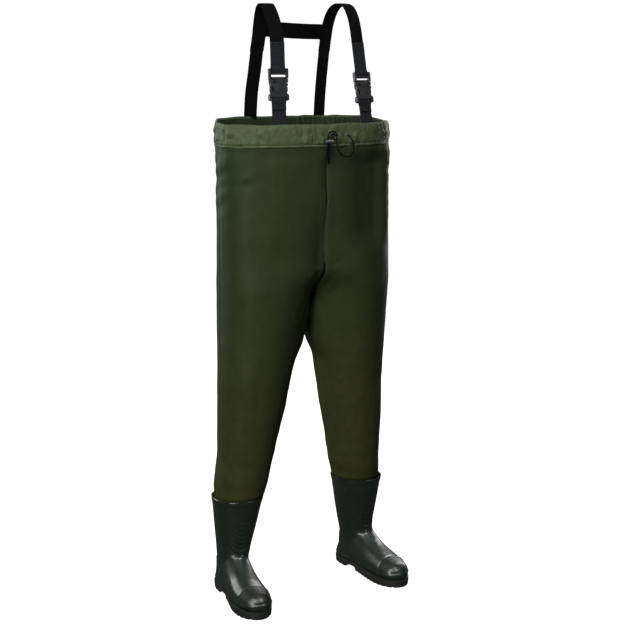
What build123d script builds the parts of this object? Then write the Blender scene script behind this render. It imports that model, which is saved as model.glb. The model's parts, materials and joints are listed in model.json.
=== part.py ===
"""Chest waders: a waterproof bib-and-leg suit with welded boots, braces, buckles and a drawcord.

The wearer faces -Y, +Z is up and the boots stand on Z = 0. The wearer's left side is +X.
All lengths are millimetres. The garment is shown as it is worn, upright and open at the chest.
"""

from build123d import *
import math
import os

os.makedirs("parts", exist_ok=True)

# ---------------------------------------------------------------- driving sizes
BODY_Y = 14.4          # the torso's middle; the boots' toes and heels then lie evenly about Y = 0
RIM_Z = 1340.0         # top edge of the chest hem
HEM_H = 60.0           # height of the drawcord casing
CROTCH_Z = 870.0       # where the torso divides into two legs
LEG_END_Z = 252.0      # lower end of the cloth, inside the boot
BOOT_TOP_Z = 290.0     # top edge of the boot shaft
CLOTH = 1.6            # coated cloth, doubled at its seams
TAPE = 0.8             # seam tape thickness
TAPE_W = 22.0          # seam tape width
SIDES = (("right", -1), ("left", 1))

# torso outline at each height: height, half width, half depth, squareness
RIM_A, RIM_B, RIM_N = 262.0, 126.0, 2.4
TORSO = (
    (RIM_Z, RIM_A, RIM_B, RIM_N),
    (RIM_Z - HEM_H, RIM_A, RIM_B, RIM_N),
    (1180, 261, 126, 2.4),
    (1020, 261, 128, 2.5),
    (CROTCH_Z, 262, 129, 2.8),
)
# leg outline: height, middle x, middle y from the torso's, half width, half depth
LEG = (
    (930, 128, 0, 116, 104),
    (CROTCH_Z, 131, 0, 127, 122),
    (720, 149, 10, 112, 110),
    (550, 163, 24, 97, 97),
    (400, 181, 36, 79, 83),
    (BOOT_TOP_Z, 196, 46, 66, 70),
    (LEG_END_Z, 199.5, 48.5, 61, 67.5),
)


# ---------------------------------------------------------------- shared shapes
def oval(cx, cy, z, a, b, squareness=2.0, count=24):
    """A closed face with the outline |x/a|^n + |y/b|^n = 1 at height z."""
    points = []
    for i in range(count):
        t = 2 * math.pi * i / count
        c, s = math.cos(t), math.sin(t)
        x = math.copysign(abs(c) ** (2 / squareness), c)
        y = math.copysign(abs(s) ** (2 / squareness), s)
        points.append((cx + a * x, cy + b * y, z))
    return Face(Wire([Spline(*points, periodic=True)]))


def torso_solid(inset, top, bottom):
    """The torso as a full solid, its outline taken in by inset, between two heights."""
    faces = []
    for z, a, b, n in TORSO:
        z = min(max(z, bottom), top)
        faces.append(oval(0, BODY_Y, z, a - inset, b - inset, n))
    return loft(faces)


def leg_solid(side, inset, bottom):
    """One leg as a full solid, taken in by inset and ending at the height bottom."""
    faces = []
    for z, cx, cy, a, b in LEG:
        z = min(z, 930 - inset) if z > CROTCH_Z else max(z, bottom)
        z = bottom if z == LEG_END_Z else z
        faces.append(oval(side * cx, BODY_Y + cy, z, a - inset, b - inset))
    return loft(faces)


def garment(inset, top, bottom):
    """Torso and both legs in one solid, taken in by inset."""
    body = torso_solid(inset, top, CROTCH_Z + inset)
    for _, side in SIDES:
        body = body + leg_solid(side, inset, bottom)
    return body


def leg_middle_y(z):
    """The Y of the side seams at height z."""
    rows = sorted((row[0], row[2]) for row in LEG)
    for (z0, y0), (z1, y1) in zip(rows, rows[1:]):
        if z0 <= z <= z1:
            return BODY_Y + y0 + (y1 - y0) * (z - z0) / (z1 - z0)
    return BODY_Y + (rows[0][1] if z < rows[0][0] else rows[-1][1])


def seam_slab(front_offset, back_offset, x0, x1):
    """The space between two walls that follow the side seams, offset in Y, from x0 to x1."""
    heights = [LEG_END_Z - 20] + sorted(row[0] for row in LEG) + [RIM_Z + 20]
    near = [(leg_middle_y(z) + front_offset, z) for z in heights]
    far = [(leg_middle_y(z) + back_offset, z) for z in heights]
    plane = Plane(origin=(x0, 0, 0), x_dir=(0, 1, 0), z_dir=(1, 0, 0))
    outline = Polyline(*near, *reversed(far), close=True)
    return extrude(plane * make_face(outline), x1 - x0)


def save(shape, name):
    """Writes one node, checking that every solid in it is valid."""
    solids = shape.solids()
    assert solids and all(s.is_valid for s in solids), name
    shape = solids[0] if len(solids) == 1 else Compound(children=solids)
    export_step(shape, f"parts/{name}.step")
    print(f"{name:34s} solids {len(solids)}  volume {sum(s.volume for s in solids):12.1f}")
    return shape


# ---------------------------------------------------------------- cloth panels and seam tapes
def cloth_panels():
    """Four panels: each side's front and back, from the hem's lower edge to inside the boot."""
    shell = garment(0, RIM_Z - HEM_H, LEG_END_Z) - garment(CLOTH, RIM_Z - HEM_H + 1, LEG_END_Z - 1)
    wide = 400
    regions = {"front": (-wide, 0), "back": (0, wide)}
    for name, side in SIDES:
        for where, (y0, y1) in regions.items():
            x0, x1 = sorted((0, side * wide))
            save(shell & seam_slab(y0, y1, x0, x1), f"{name}_{where}_panel")


def seam_tapes():
    """Waterproof tape over the inside of every long seam."""
    top = RIM_Z - HEM_H
    skin = garment(CLOTH, top, LEG_END_Z) - garment(CLOTH + TAPE, top + 1, LEG_END_Z - 1)
    half = TAPE_W / 2
    for where, y0, y1 in (("front", -400, -90), ("back", 90, 400)):
        save(skin & seam_slab(y0, y1, -half, half), f"centre_{where}_seam_tape")
    for name, side in SIDES:
        middle = side * 200
        outer = skin & seam_slab(-half, half, *sorted((middle + side * 20, side * 400)))
        save(outer, f"{name}_outseam_tape")
        below = Box(400, 400, 600, align=(Align.CENTER, Align.CENTER, Align.MAX))
        below = Pos(0, BODY_Y, CROTCH_Z - 4) * below
        inner = skin & seam_slab(-half, half, *sorted((0, side * 150))) & below
        save(inner, f"{name}_inseam_tape")



# ---------------------------------------------------------------- chest hem and drawcord
HEM_T = 6.6            # the casing's whole thickness
CORD_D = 3.5           # drawcord
EYELET_X = (22.0, 61.0)
EYELET_Z = 1305.0
EYELET_HOLE_R = 2.6
CORD_Y = -141.0 + BODY_Y   # the free cord hangs this far in front of the hem


def rim_y(x, inset=0.0):
    """Distance from the torso's middle to its outline at x, taken in by inset."""
    a, b = RIM_A - inset, RIM_B - inset
    return b * (1 - abs(x / a) ** RIM_N) ** (1 / RIM_N)


def rim_ring(outer, inner, z0, z1):
    """A band of the rim's outline between two insets and two heights."""
    solid = []
    for inset in (outer, inner):
        face = oval(0, BODY_Y, z0, RIM_A - inset, RIM_B - inset, RIM_N)
        solid.append(extrude(face, z1 - z0, dir=(0, 0, 1)))
    return solid[0] - solid[1]


def box(x0, x1, y0, y1, z0, z1):
    """An upright box between three pairs of limits, in either order."""
    size = [abs(b - a) for a, b in ((x0, x1), (y0, y1), (z0, z1))]
    return Pos((x0 + x1) / 2, (y0 + y1) / 2, (z0 + z1) / 2) * Box(*size)


def rod(p0, p1, r):
    """A round bar from p0 to p1."""
    axis = Vector(*p1) - Vector(*p0)
    upright = Cylinder(r, axis.length, align=(Align.CENTER, Align.CENTER, Align.MIN))
    return Plane(origin=p0, z_dir=axis) * upright


def hem_casing():
    """The folded hem in four lengths, hollow for the drawcord."""
    z0, z1 = RIM_Z - HEM_H, RIM_Z
    casing = rim_ring(0, HEM_T, z0, z1) - rim_ring(1.2, 5.4, z0 + 3, z1 - 3)
    for x in EYELET_X:
        front = BODY_Y - RIM_B
        casing = casing - rod((x, front - 10, EYELET_Z), (x, front + 3.5, EYELET_Z), EYELET_HOLE_R + 1.2)
    for name, side in SIDES:
        for where, y in (("front", -300), ("back", 300)):
            quarter = casing & box(0, side * 300, BODY_Y, BODY_Y + y, z0 - 5, z1 + 5)
            save(quarter, f"{name}_{where}_hem_casing")


def eyelets():
    """Two pressed eyelets that line the cord holes."""
    made = []
    for x in EYELET_X:
        face = BODY_Y - rim_y(x)
        tube = rod((x, face - 0.6, EYELET_Z), (x, face + 1.1, EYELET_Z), EYELET_HOLE_R + 1.1)
        flange = rod((x, face - 1.8, EYELET_Z), (x, face - 0.25, EYELET_Z), 5.4)
        hole = rod((x, face - 9, EYELET_Z), (x, face + 9, EYELET_Z), EYELET_HOLE_R)
        made.append(tube + flange - hole)
    save(Compound(children=made), "drawcord_eyelets")


# Free strands of the drawcord: points from the eyelet through the cord lock to the knot.
LOCK_X, LOCK_Z = -8.0, 1291.0
STRAND_GAP = 2.1       # half the distance between the two strands in the lock
KNOT_Z = 1246.0
FRONT_Y = BODY_Y - RIM_B
STRAND_A = (
    (22, FRONT_Y + 3, 1305), (22, FRONT_Y - 8.5, 1305.3), (15.5, CORD_Y - 2, 1312.3),
    (6.5, CORD_Y - 1.5, 1318), (-3.5, CORD_Y - 0.5, 1317.3), (-10.1, CORD_Y, 1310),
    (-10.2, CORD_Y, 1290), (-10.1, CORD_Y, 1269), (-10.2, CORD_Y, KNOT_Z + 3),
)
STRAND_B = (
    (61, FRONT_Y + 4, 1305), (61, FRONT_Y - 8, 1304), (63.5, CORD_Y + 0.5, 1296),
    (68, CORD_Y - 1, 1284), (70.5, CORD_Y - 0.5, 1269), (65, CORD_Y + 1, 1255),
    (56, CORD_Y + 1.5, 1249), (40, CORD_Y + 1, 1250), (28, CORD_Y + 0.5, 1258),
    (19.5, CORD_Y, 1271), (17.2, CORD_Y, 1287), (17.5, CORD_Y, 1303.9), (10.6, CORD_Y, 1310.7),
    (1, CORD_Y, 1310.7), (-5.9, CORD_Y, 1303.9), (-5.8, CORD_Y, 1287), (-5.9, CORD_Y, 1268),
    (-5.8, CORD_Y, KNOT_Z + 3),
)


def tangent_path(points):
    """Straight runs joined by arcs, each as large as its two runs allow."""
    radii = []
    for a, b, c in zip(points, points[1:], points[2:]):
        u, v = Vector(*b) - Vector(*a), Vector(*c) - Vector(*b)
        turn = math.radians(u.get_angle(v))
        radii.append(0.45 * min(u.length, v.length) / math.tan(turn / 2))
    print("   arc radii", [round(r, 1) for r in radii])
    return FilletPolyline(*points, radius=radii)


def tube(points, diameter):
    """A cord along the points' runs and arcs; its volume is compared with section times length."""
    path = tangent_path(points)
    start = Plane(origin=path @ 0, z_dir=path % 0)
    solid = sweep(start * Circle(diameter / 2), path=path)
    share = solid.volume / (math.pi * diameter ** 2 / 4 * path.length)
    print(f"   length {path.length:.1f}  volume share {share:.4f}")
    return solid


def drawcord():
    """The elastic cord: its hidden run round the casing, two free strands, a knot and its ends."""
    z = EYELET_Z
    half = CORD_D / 2
    hidden = rim_ring(1.55, 5.05, z - half, z + half)
    gap_low, gap_high = EYELET_X[0] - 0.2, EYELET_X[1] + 0.2
    hidden = hidden - box(gap_low, gap_high, FRONT_Y - 30, BODY_Y - 60, z - 20, z + 20)
    save(hidden, "drawcord_in_casing")
    save(tube(STRAND_A, CORD_D), "drawcord_strand_right")
    save(tube(STRAND_B, CORD_D), "drawcord_strand_left")
    middle = (LOCK_X, CORD_Y, KNOT_Z)
    knot = Pos(*middle) * Sphere(5.2)
    knot = knot & box(-40, 40, CORD_Y - 20, CORD_Y + 20, KNOT_Z - 20, KNOT_Z + 3)
    ends = rod(middle, (LOCK_X - 2.2, CORD_Y, KNOT_Z - 17), half)
    ends = ends + rod(middle, (LOCK_X + 2.4, CORD_Y, KNOT_Z - 14), half)
    save(knot + ends, "drawcord_knot")


LOCK_R = 7.6
LOCK_LEFT, LOCK_RIGHT = LOCK_X - 7.5, LOCK_X + 12.2   # the barrel's open and closed ends
BUTTON_TRAVEL = 4.0


def cord_lock():
    """A barrel cord lock: bored barrel, spring and push button, with a slot for the two strands."""
    y, z = CORD_Y, LOCK_Z
    slot_x = STRAND_GAP + CORD_D / 2 + 0.35
    slot = box(LOCK_X - slot_x, LOCK_X + slot_x, y - 2.15, y + 2.15, z - 20, z + 20)
    barrel = rod((LOCK_LEFT, y, z), (LOCK_RIGHT, y, z), LOCK_R)
    barrel = fillet(barrel.edges().filter_by(GeomType.CIRCLE), 1.2)
    bore = rod((LOCK_LEFT - 1, y, z), (LOCK_RIGHT - 1.8, y, z), 5.6)
    save(barrel - bore - slot, "cord_lock_barrel")
    tip = LOCK_LEFT - 6.0
    button = rod((tip, y, z), (LOCK_X + slot_x + 1.2, y, z), 5.45)
    button = fillet(button.edges().filter_by(GeomType.CIRCLE).sort_by(Axis.X)[0], 1.5)
    slot_from, slot_to = LOCK_X - slot_x - BUTTON_TRAVEL - 0.2, LOCK_X + slot_x - 0.15
    button_slot = box(slot_from, slot_to, y - 2.15, y + 2.15, z - 20, z + 20)
    save(button - button_slot, "cord_lock_button")
    spring_start, spring_end = LOCK_X + slot_x + 1.25, LOCK_RIGHT - 1.85
    ends = (spring_start, y, z), (spring_end, y, z)
    spring = rod(*ends, 4.2) - rod(*ends, 3.4)
    save(spring, "cord_lock_spring")


# ---------------------------------------------------------------- boots
# Each boot is drawn about its ankle: toe towards -Y, ground at Z = 0, wearer's left foot.
ANKLE_X, ANKLE_Y = 209.0, 57.0   # where that point stands, from the torso's middle
TOE_OUT = 4.5                    # degrees
BOOT_WALL = 3.4
SOLE_TOP = 22.0
HEEL_BACK, TOE_TIP = 78.0, -222.0
# shaft outline: height, middle x, middle y, half width, half length
SHAFT = (
    (BOOT_TOP_Z, -12.5, -11, 72, 76),
    (250, -10.5, -7, 65, 72),
    (200, -8, -2, 57.5, 66),
    (150, -5, 3, 49, 59),
    (105, -1, 3, 42, 58),
    (60, 0, 2, 40, 68),
    (SOLE_TOP, 0, 2, 38, 74),
)
# foot outline: y, middle x, half width, height of the top
FOOT = (
    (70, 0, 26, 50),
    (40, 0, 37, 76),
    (0, 0, 41, 108),
    (-40, 1, 42, 112),
    (-80, 3, 45, 90),
    (-125, 5, 49, 72),
    (-170, 5, 48, 60),
    (-204, 3, 35, 50),
    (-219, 2, 17, 37),
)


def ring_of_shaft(inset, top, bottom):
    """The shaft as a full solid, taken in by inset."""
    faces = []
    for z, cx, cy, a, b in SHAFT:
        z = top if z == BOOT_TOP_Z else max(z, bottom)
        faces.append(oval(cx, cy, z, a - inset, b - inset, 2.15, 20))
    return loft(faces)


def foot_section(y, cx, half, top, inset):
    """A D-shaped slice across the foot, flat below and domed above."""
    z0 = SOLE_TOP + inset
    half, top = half - inset, top - inset
    rise = z0 + 0.42 * (top - z0)
    points = [(cx - half * 0.97, y, z0), (cx - half, y, rise)]
    for degrees in (50, 90, 130):
        t = math.radians(degrees)
        reach = 0.92 if degrees != 90 else 1
        points.append((cx - half * math.cos(t) * reach * 1.1, y, rise + (top - rise) * math.sin(t) ** 0.8))
    points += [(cx + half, y, rise), (cx + half * 0.97, y, z0)]
    return Face(Wire([Spline(*points), Line(points[-1], points[0])]))


def foot_solid(inset):
    """The foot as a full solid, taken in by inset."""
    rows = list(FOOT)
    first, last = rows[0], rows[-1]
    rows[0] = (first[0] - inset, *first[1:])
    rows[-1] = (last[0] + inset, *last[1:])
    return loft([foot_section(y, cx, half, top, inset) for y, cx, half, top in rows])


def sole_outline(grow, z):
    """The plan of the sole, grown by grow."""
    points = [(0, HEEL_BACK + grow, z)]
    right = [(25, 70), (37, 42), (38, 0), (39, -45), (47, -90), (54, -130), (52, -172), (36, -206)]
    left = [(20, -214), (-28, -205), (-43, -172), (-45, -130), (-41, -90)]
    left += [(-35, -45), (-37, 0), (-36, 42), (-25, 70)]
    points += [(x + math.copysign(grow, x), y, z) for x, y in right]
    points += [(3, TOE_TIP - grow, z)]
    points += [(x + math.copysign(grow, x), y, z) for x, y in left[1:]]
    return Face(Wire([Spline(*points, periodic=True)]))


def outsole():
    """Sole plate with a heel block, a raised arch and a lugged tread."""
    plate = extrude(sole_outline(2.5, 11), SOLE_TOP - 11, dir=(0, 0, 1))
    tread = extrude(sole_outline(1.0, 0), 13, dir=(0, 0, 1))
    arch = box(-90, 90, -38, 6, -1, 11)
    grooves = []
    for y in range(-212, -40, 17):
        grooves.append(box(-90, 90, y, y + 5, -1, 7))
    for y in (24, 42, 60):
        grooves.append(box(-90, 90, y, y + 5, -1, 7))
    channel = box(-4, 4, -205, 68, -1, 5)
    tread = tread - arch - channel
    for groove in grooves:
        tread = tread - groove
    return plate + tread


def upper():
    """The rubber boot above its sole: hollow shaft and foot with a thicker top edge."""
    outside = ring_of_shaft(0, BOOT_TOP_Z, SOLE_TOP) + foot_solid(0)
    inside = ring_of_shaft(BOOT_WALL, BOOT_TOP_Z + 1, SOLE_TOP + BOOT_WALL) + foot_solid(BOOT_WALL)
    z, cx, cy, a, b = SHAFT[0]
    lip = extrude(oval(cx, cy, z - 10, a + 1.8, b + 1.8, 2.15, 20), 10, dir=(0, 0, 1))
    return outside + lip - inside


def footbed():
    """The cushioned insole inside the boot."""
    z0 = SOLE_TOP + BOOT_WALL + 0.3
    plan = extrude(sole_outline(0, z0), 5, dir=(0, 0, 1))
    gap = BOOT_WALL + 0.9
    return plan & (ring_of_shaft(gap, BOOT_TOP_Z, SOLE_TOP) + foot_solid(gap))


def cuff_seal(side):
    """The band that seals the leg's cloth to the inside of the boot's top."""
    band = ring_of_shaft(BOOT_WALL, BOOT_TOP_Z, SOLE_TOP) & box(-200, 200, -200, 200, 262, 280)
    return place_boot(band, side) - leg_solid(side, 0, LEG_END_Z)


def place_boot(shape, side):
    """Turns the left boot's shape out by the toes and stands it at its ankle, mirrored for the right."""
    placed = Pos(ANKLE_X, BODY_Y + ANKLE_Y, 0) * Rot(0, 0, TOE_OUT) * shape
    return placed if side > 0 else placed.mirror(Plane.YZ)


def boots():
    """Upper, outsole and footbed of both boots."""
    pieces = {"boot_upper": upper(), "boot_outsole": outsole(), "boot_footbed": footbed()}
    for name, side in SIDES:
        for piece, shape in pieces.items():
            save(place_boot(shape, side), f"{name}_{piece}")
        save(cuff_seal(side), f"{name}_cuff_seal")


# ---------------------------------------------------------------- braces
# Each brace lies in an upright plane through its two places on the rim. In that plane s runs
# from front to back, z is the height and s = 0 is over the shoulder.
WEB_W, WEB_T = 40.0, 2.0
BRACE_X, BRACE_Y = 123.0, BODY_Y + 1.0
BRACE_LEAN = 0.115         # how much nearer the middle the brace is for each length it goes back
FRONT_S, BACK_S = -104.5, 116.0
DOUBLED_Z = 1550.0         # upper end of the doubled adjuster webbing
BACK_SEAM_Z = 1527.0       # where the stretch webbing of the back begins
# side: buckle's lower end z, forward lean of the front line, arch points, back points
BRACES = {
    1: (1389.0, 0.2035,
        ((-52, 1584), (-40, 1618), (-20, 1645), (6, 1655), (33, 1650), (55, 1633), (73, 1602), (83, 1567)),
        ((91.5, BACK_SEAM_Z), (101, 1470), (110, 1405), (BACK_S, 1338))),
    -1: (1398.5, 0.07,
         ((-82, 1576), (-65, 1603), (-40, 1631), (-14, 1649), (6, 1646), (21, 1629), (34, 1598), (45, 1563)),
         ((61, BACK_SEAM_Z), (80, 1472), (104, 1410), (BACK_S, 1338))),
}


def brace_plane(side):
    """The plane of one brace: X runs front to back, Y is up."""
    front_to_back = Vector(-side * BRACE_LEAN, 1, 0).normalized()
    across = front_to_back.cross(Vector(0, 0, 1))
    return Plane(origin=(side * BRACE_X, BRACE_Y, 0), x_dir=front_to_back, z_dir=across)


def buckle_base(side):
    """Where the buckle's lower end is in the brace's plane, with its upward direction."""
    z, lean, _, _ = BRACES[side]
    up = Vector(lean, 1).normalized()
    return Vector(FRONT_S + 1 + lean * (z - RIM_Z), z), up


def in_brace(side, inward, up):
    """A point given from the buckle's lower end, in the brace's own s and z."""
    base, along = buckle_base(side)
    across = Vector(along.Y, -along.X)
    point = base + across * inward + along * up
    return (point.X, point.Y)


def ribbon(points, thickness=WEB_T, count=24):
    """A face of even thickness along a smooth line through the points."""
    middle = Spline(*points)
    sides = []
    for sign in (-1, 1):
        row = []
        for i in range(count + 1):
            at, along = middle @ (i / count), middle % (i / count)
            row.append((at.X - sign * along.Y * thickness / 2, at.Y + sign * along.X * thickness / 2))
        sides.append(row)
    near, far = Spline(*sides[0]), Spline(*sides[1])
    return make_face(Wire([near, Line(sides[0][-1], sides[1][-1]), far, Line(sides[1][0], sides[0][0])]))


def webbing(side, face, width=WEB_W):
    """A strap of the given outline in the brace's plane."""
    return extrude(brace_plane(side) * face, width / 2, both=True)


def bar_loop(side, bar_low, bar_high, doubled_to):
    """Webbing round a buckle bar, then two layers sewn together up or down to doubled_to."""
    upward = 1 if doubled_to > bar_high else -1
    gap, half_bar = 0.3, 2.25
    root = bar_high if upward > 0 else bar_low
    tip = (bar_low if upward > 0 else bar_high) - upward * (gap + WEB_T)
    wide = half_bar + gap + WEB_T
    outer = [(-WEB_T, doubled_to), (-WEB_T, root + upward * 6), (-wide, root), (-wide, tip + upward * 1.5)]
    outer += [(-wide + 1.5, tip), (wide - 1.5, tip), (wide, tip + upward * 1.5), (wide, root)]
    outer += [(WEB_T, root + upward * 6), (WEB_T, doubled_to)]
    hole = [(-half_bar - gap, bar_low - gap), (half_bar + gap, bar_low - gap)]
    hole += [(half_bar + gap, bar_high + gap), (-half_bar - gap, bar_high + gap)]
    loops = [[in_brace(side, n, u) for n, u in loop] for loop in (outer, hole)]
    faces = [make_face(Polyline(*points, close=True)) for points in loops]
    return faces[0] - faces[1]


# Side-release buckle, drawn with X across the strap, Z up it and -Y outward, from its lower end.
BUCKLE_T = 13.0
END_BAR = (0.0, 4.5)
TOP_BAR = (79.0, 83.5)
MALE_FROM, MALE_TO = 58.0, 84.0
ARM_ROOT = (20.0, 57.7)
FEMALE_HALF = ((22, 0), (26, 1.2), (27.5, 4), (27.5, 14), (25, 17.5), (18, 22), (15, 29),
               (17.5, 35), (24, 38), (25, 45.5))
ARM_HALF = ((27, 57.7), (27, 47.6), (21.2, 46.2), (21.2, 37.4), (24.5, 36.8), (25.6, 30), (24, 22), (21, 16),
            (18.6, 16.2), (17.6, 30), (17.2, 46), (13, 50), (13, 57.7))


def slab(points, thickness):
    """An outline in X and Z made into a slab with its middle at Y = 0."""
    return extrude(Plane.XZ * make_face(Polyline(*points, close=True)), thickness / 2, both=True)


def both_halves(half):
    """A symmetric outline from its right half, listed from bottom to top."""
    return list(half) + [(-x, z) for x, z in reversed(half)]


def buckle_female():
    """Socket half: end bar, strap slot, side windows and mouth ring."""
    body = slab(both_halves(FEMALE_HALF), BUCKLE_T)
    socket = box(-25.9, 25.9, -3.8, 3.8, 14, 37.7) + box(-21.6, 21.6, -3.8, 3.8, 37, 47)
    slot = box(-21.5, 21.5, -20, 20, END_BAR[1], 10.5)
    thinned = box(-21.5, 21.5, -20, -2.25, -1, END_BAR[1] + 1)
    thinned = thinned + box(-21.5, 21.5, 2.25, 20, -1, END_BAR[1] + 1)
    return body - socket - slot - thinned


def buckle_male():
    """Plug half's frame: see-through slot, webbing slot, top bar, centre block and guide rib."""
    frame = box(-27.5, 27.5, -4.6, 4.6, MALE_FROM, MALE_TO)
    frame = fillet(frame.edges().filter_by(Axis.Y), 3)
    frame = frame + box(-11.5, 11.5, -5.5, 5.5, 46.3, MALE_FROM + 1) + box(-3.5, 3.5, -2.8, 2.8, 20, 47)
    see_through = box(-21, 21, -20, 20, 62, 67.2)
    web_slot = box(-21.5, 21.5, -20, 20, 71.7, TOP_BAR[0])
    thinned = box(-21.5, 21.5, -20, -2.25, TOP_BAR[0] - 1, 90)
    thinned = thinned + box(-21.5, 21.5, 2.25, 20, TOP_BAR[0] - 1, 90)
    trimmed = box(-21.5, 21.5, -20, 20, TOP_BAR[1], 90)
    return frame - see_through - web_slot - thinned - trimmed


def buckle_arm(hand):
    """One springy latch arm, ending in its hook."""
    return slab([(hand * x, z) for x, z in ARM_HALF], 6.8)


def buckle_location(side):
    """Stands the buckle's drawing in its place on the brace."""
    base, along = buckle_base(side)
    plane = brace_plane(side)
    origin = plane.from_local_coords((base.X, base.Y, 0))
    up = plane.x_dir * along.X + plane.y_dir * along.Y
    return Plane(origin=origin, x_dir=plane.z_dir, z_dir=up)


def hem_patch(side):
    """Webbing sewn flat against the inside of the hem, where the front brace is fixed."""
    ring = rim_ring(HEM_T + 0.02, HEM_T + WEB_T, 1290, RIM_Z - 2)
    return ring & box(side * 114, side * 158, BODY_Y - 200, BODY_Y, 1280, RIM_Z)


def braces():
    """Both braces with their buckles."""
    for name, side in SIDES:
        _, _, arch, back = BRACES[side]
        at = buckle_location(side)
        save(hem_patch(side), f"{name}_front_hem_patch")
        low = ribbon([(FRONT_S, 1296), (FRONT_S, 1318), (FRONT_S + 0.3, RIM_Z), in_brace(side, 1, -22)])
        save(webbing(side, low + bar_loop(side, *END_BAR, -22)), f"{name}_lower_strap")
        save(at * buckle_female(), f"{name}_buckle_female")
        save(at * buckle_male(), f"{name}_buckle_male")
        save(at * buckle_arm(-1), f"{name}_buckle_arm_right")
        save(at * buckle_arm(1), f"{name}_buckle_arm_left")
        base, along = buckle_base(side)
        doubled = (DOUBLED_Z - base.Y) / along.Y
        save(webbing(side, bar_loop(side, *TOP_BAR, doubled)), f"{name}_adjuster_strap")
        start = [in_brace(side, WEB_T / 2, doubled + 0.02), in_brace(side, WEB_T / 2, doubled + 8)]
        save(webbing(side, ribbon(start + list(arch) + [back[0]])), f"{name}_shoulder_strap")
        top = (back[0][0] + 0.05, back[0][1] - 0.1)
        save(webbing(side, ribbon([top, *back[1:]]), WEB_W - 2), f"{name}_back_strap")


CROSS_Z = 1581.0


def cross_strap():
    """The short strap that holds the two braces together behind the shoulders."""
    ends = []
    for name, side in SIDES:
        rows = BRACES[side][2] + BRACES[side][3][:1]
        spans = [(a, b) for a, b in zip(rows, rows[1:]) if a[1] >= CROSS_Z >= b[1] and a[0] > 0]
        (s0, z0), (s1, z1) = spans[0]
        share = (z0 - CROSS_Z) / (z0 - z1)
        at = brace_plane(side).from_local_coords((s0 + share * (s1 - s0), CROSS_Z, -side * (WEB_W / 2 - 9)))
        slope = (s1 - s0) / (z0 - z1)
        across = Vector(0, 1, slope).normalized()
        middle = at + across * (WEB_T + 0.4)
        plane = Plane(origin=middle, x_dir=across, z_dir=(1, 0, 0))
        ends.append((plane * Rectangle(WEB_T, WEB_W - 2)).face())
    save(loft(ends, ruled=True), "cross_strap")


if __name__ == "__main__":
    cloth_panels()
    seam_tapes()
    hem_casing()
    eyelets()
    drawcord()
    cord_lock()
    boots()
    braces()
    cross_strap()
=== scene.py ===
"""Chest waders: the visual model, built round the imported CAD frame. Metres, in the CAD frame."""

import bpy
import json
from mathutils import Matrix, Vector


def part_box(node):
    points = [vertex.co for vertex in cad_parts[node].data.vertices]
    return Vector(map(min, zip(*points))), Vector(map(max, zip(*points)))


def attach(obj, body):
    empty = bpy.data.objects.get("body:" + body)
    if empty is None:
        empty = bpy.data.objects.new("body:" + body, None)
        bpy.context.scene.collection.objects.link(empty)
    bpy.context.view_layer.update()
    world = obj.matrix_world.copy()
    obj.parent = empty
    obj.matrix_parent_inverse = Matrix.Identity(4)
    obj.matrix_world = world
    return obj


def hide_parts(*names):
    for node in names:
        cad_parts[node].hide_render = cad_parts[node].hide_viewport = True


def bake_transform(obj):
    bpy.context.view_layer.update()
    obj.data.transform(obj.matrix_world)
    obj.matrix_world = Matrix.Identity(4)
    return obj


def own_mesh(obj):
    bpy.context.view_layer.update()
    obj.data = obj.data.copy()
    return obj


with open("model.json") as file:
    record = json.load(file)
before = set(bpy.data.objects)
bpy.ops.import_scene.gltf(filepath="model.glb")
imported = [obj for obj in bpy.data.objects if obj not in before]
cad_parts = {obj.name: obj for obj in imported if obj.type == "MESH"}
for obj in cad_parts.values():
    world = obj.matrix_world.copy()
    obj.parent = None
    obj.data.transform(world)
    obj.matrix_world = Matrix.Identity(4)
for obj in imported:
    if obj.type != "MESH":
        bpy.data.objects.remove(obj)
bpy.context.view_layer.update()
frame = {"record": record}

import json
import math

import bmesh
import bpy
import numpy as np
from mathutils import Vector, noise

SIDES = (("right", -1), ("left", 1))
ROOT = "waders"
NODE_BODY = {node: body for body, nodes in frame["record"]["behaviour"]["bodies"].items() for node in nodes}

# ---------------------------------------------------------------- places taken from the frame
hem_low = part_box("right_front_hem_casing")[0]
back_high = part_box("left_back_hem_casing")[1]
HEM_BOTTOM = hem_low[2]
RIM_A = back_high[0]
RIM_B = (back_high[1] - hem_low[1]) / 2
BODY_Y = (back_high[1] + hem_low[1]) / 2
RIM_N = 2.4
BOOT_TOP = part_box("left_boot_upper")[1][2]


# ---------------------------------------------------------------- mesh helpers
def piece(name, points, faces, materials, body=ROOT, smooth=True, stands_for=()):
    """A mesh object that rides on a body, stands for the given CAD nodes and has a material slot."""
    mesh = bpy.data.meshes.new(name)
    mesh.from_pydata([tuple(p) for p in points], [], faces)
    mesh.update()
    obj = bpy.data.objects.new(name, mesh)
    bpy.context.scene.collection.objects.link(obj)
    for material in materials:
        mesh.materials.append(material)
    if smooth:
        mesh.polygons.foreach_set("use_smooth", [True] * len(mesh.polygons))
    if body:
        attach(obj, body)
    if stands_for:
        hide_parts(*stands_for)
    return obj


def grid_faces(rows, columns, wrap_columns=False, wrap_rows=False):
    """Quads over a grid of rows by columns."""
    faces = []
    for i in range(rows if wrap_rows else rows - 1):
        for j in range(columns if wrap_columns else columns - 1):
            i1, j1 = (i + 1) % rows, (j + 1) % columns
            faces.append((i * columns + j, i * columns + j1, i1 * columns + j1, i1 * columns + j))
    return faces


def tube_faces(rings, count):
    """Quads round a stack of equal rings, with a cap on its first and last ring."""
    faces = grid_faces(rings, count, wrap_columns=True)
    faces.append(tuple(reversed(range(count))))
    faces.append(tuple((rings - 1) * count + k for k in range(count)))
    return faces


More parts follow.
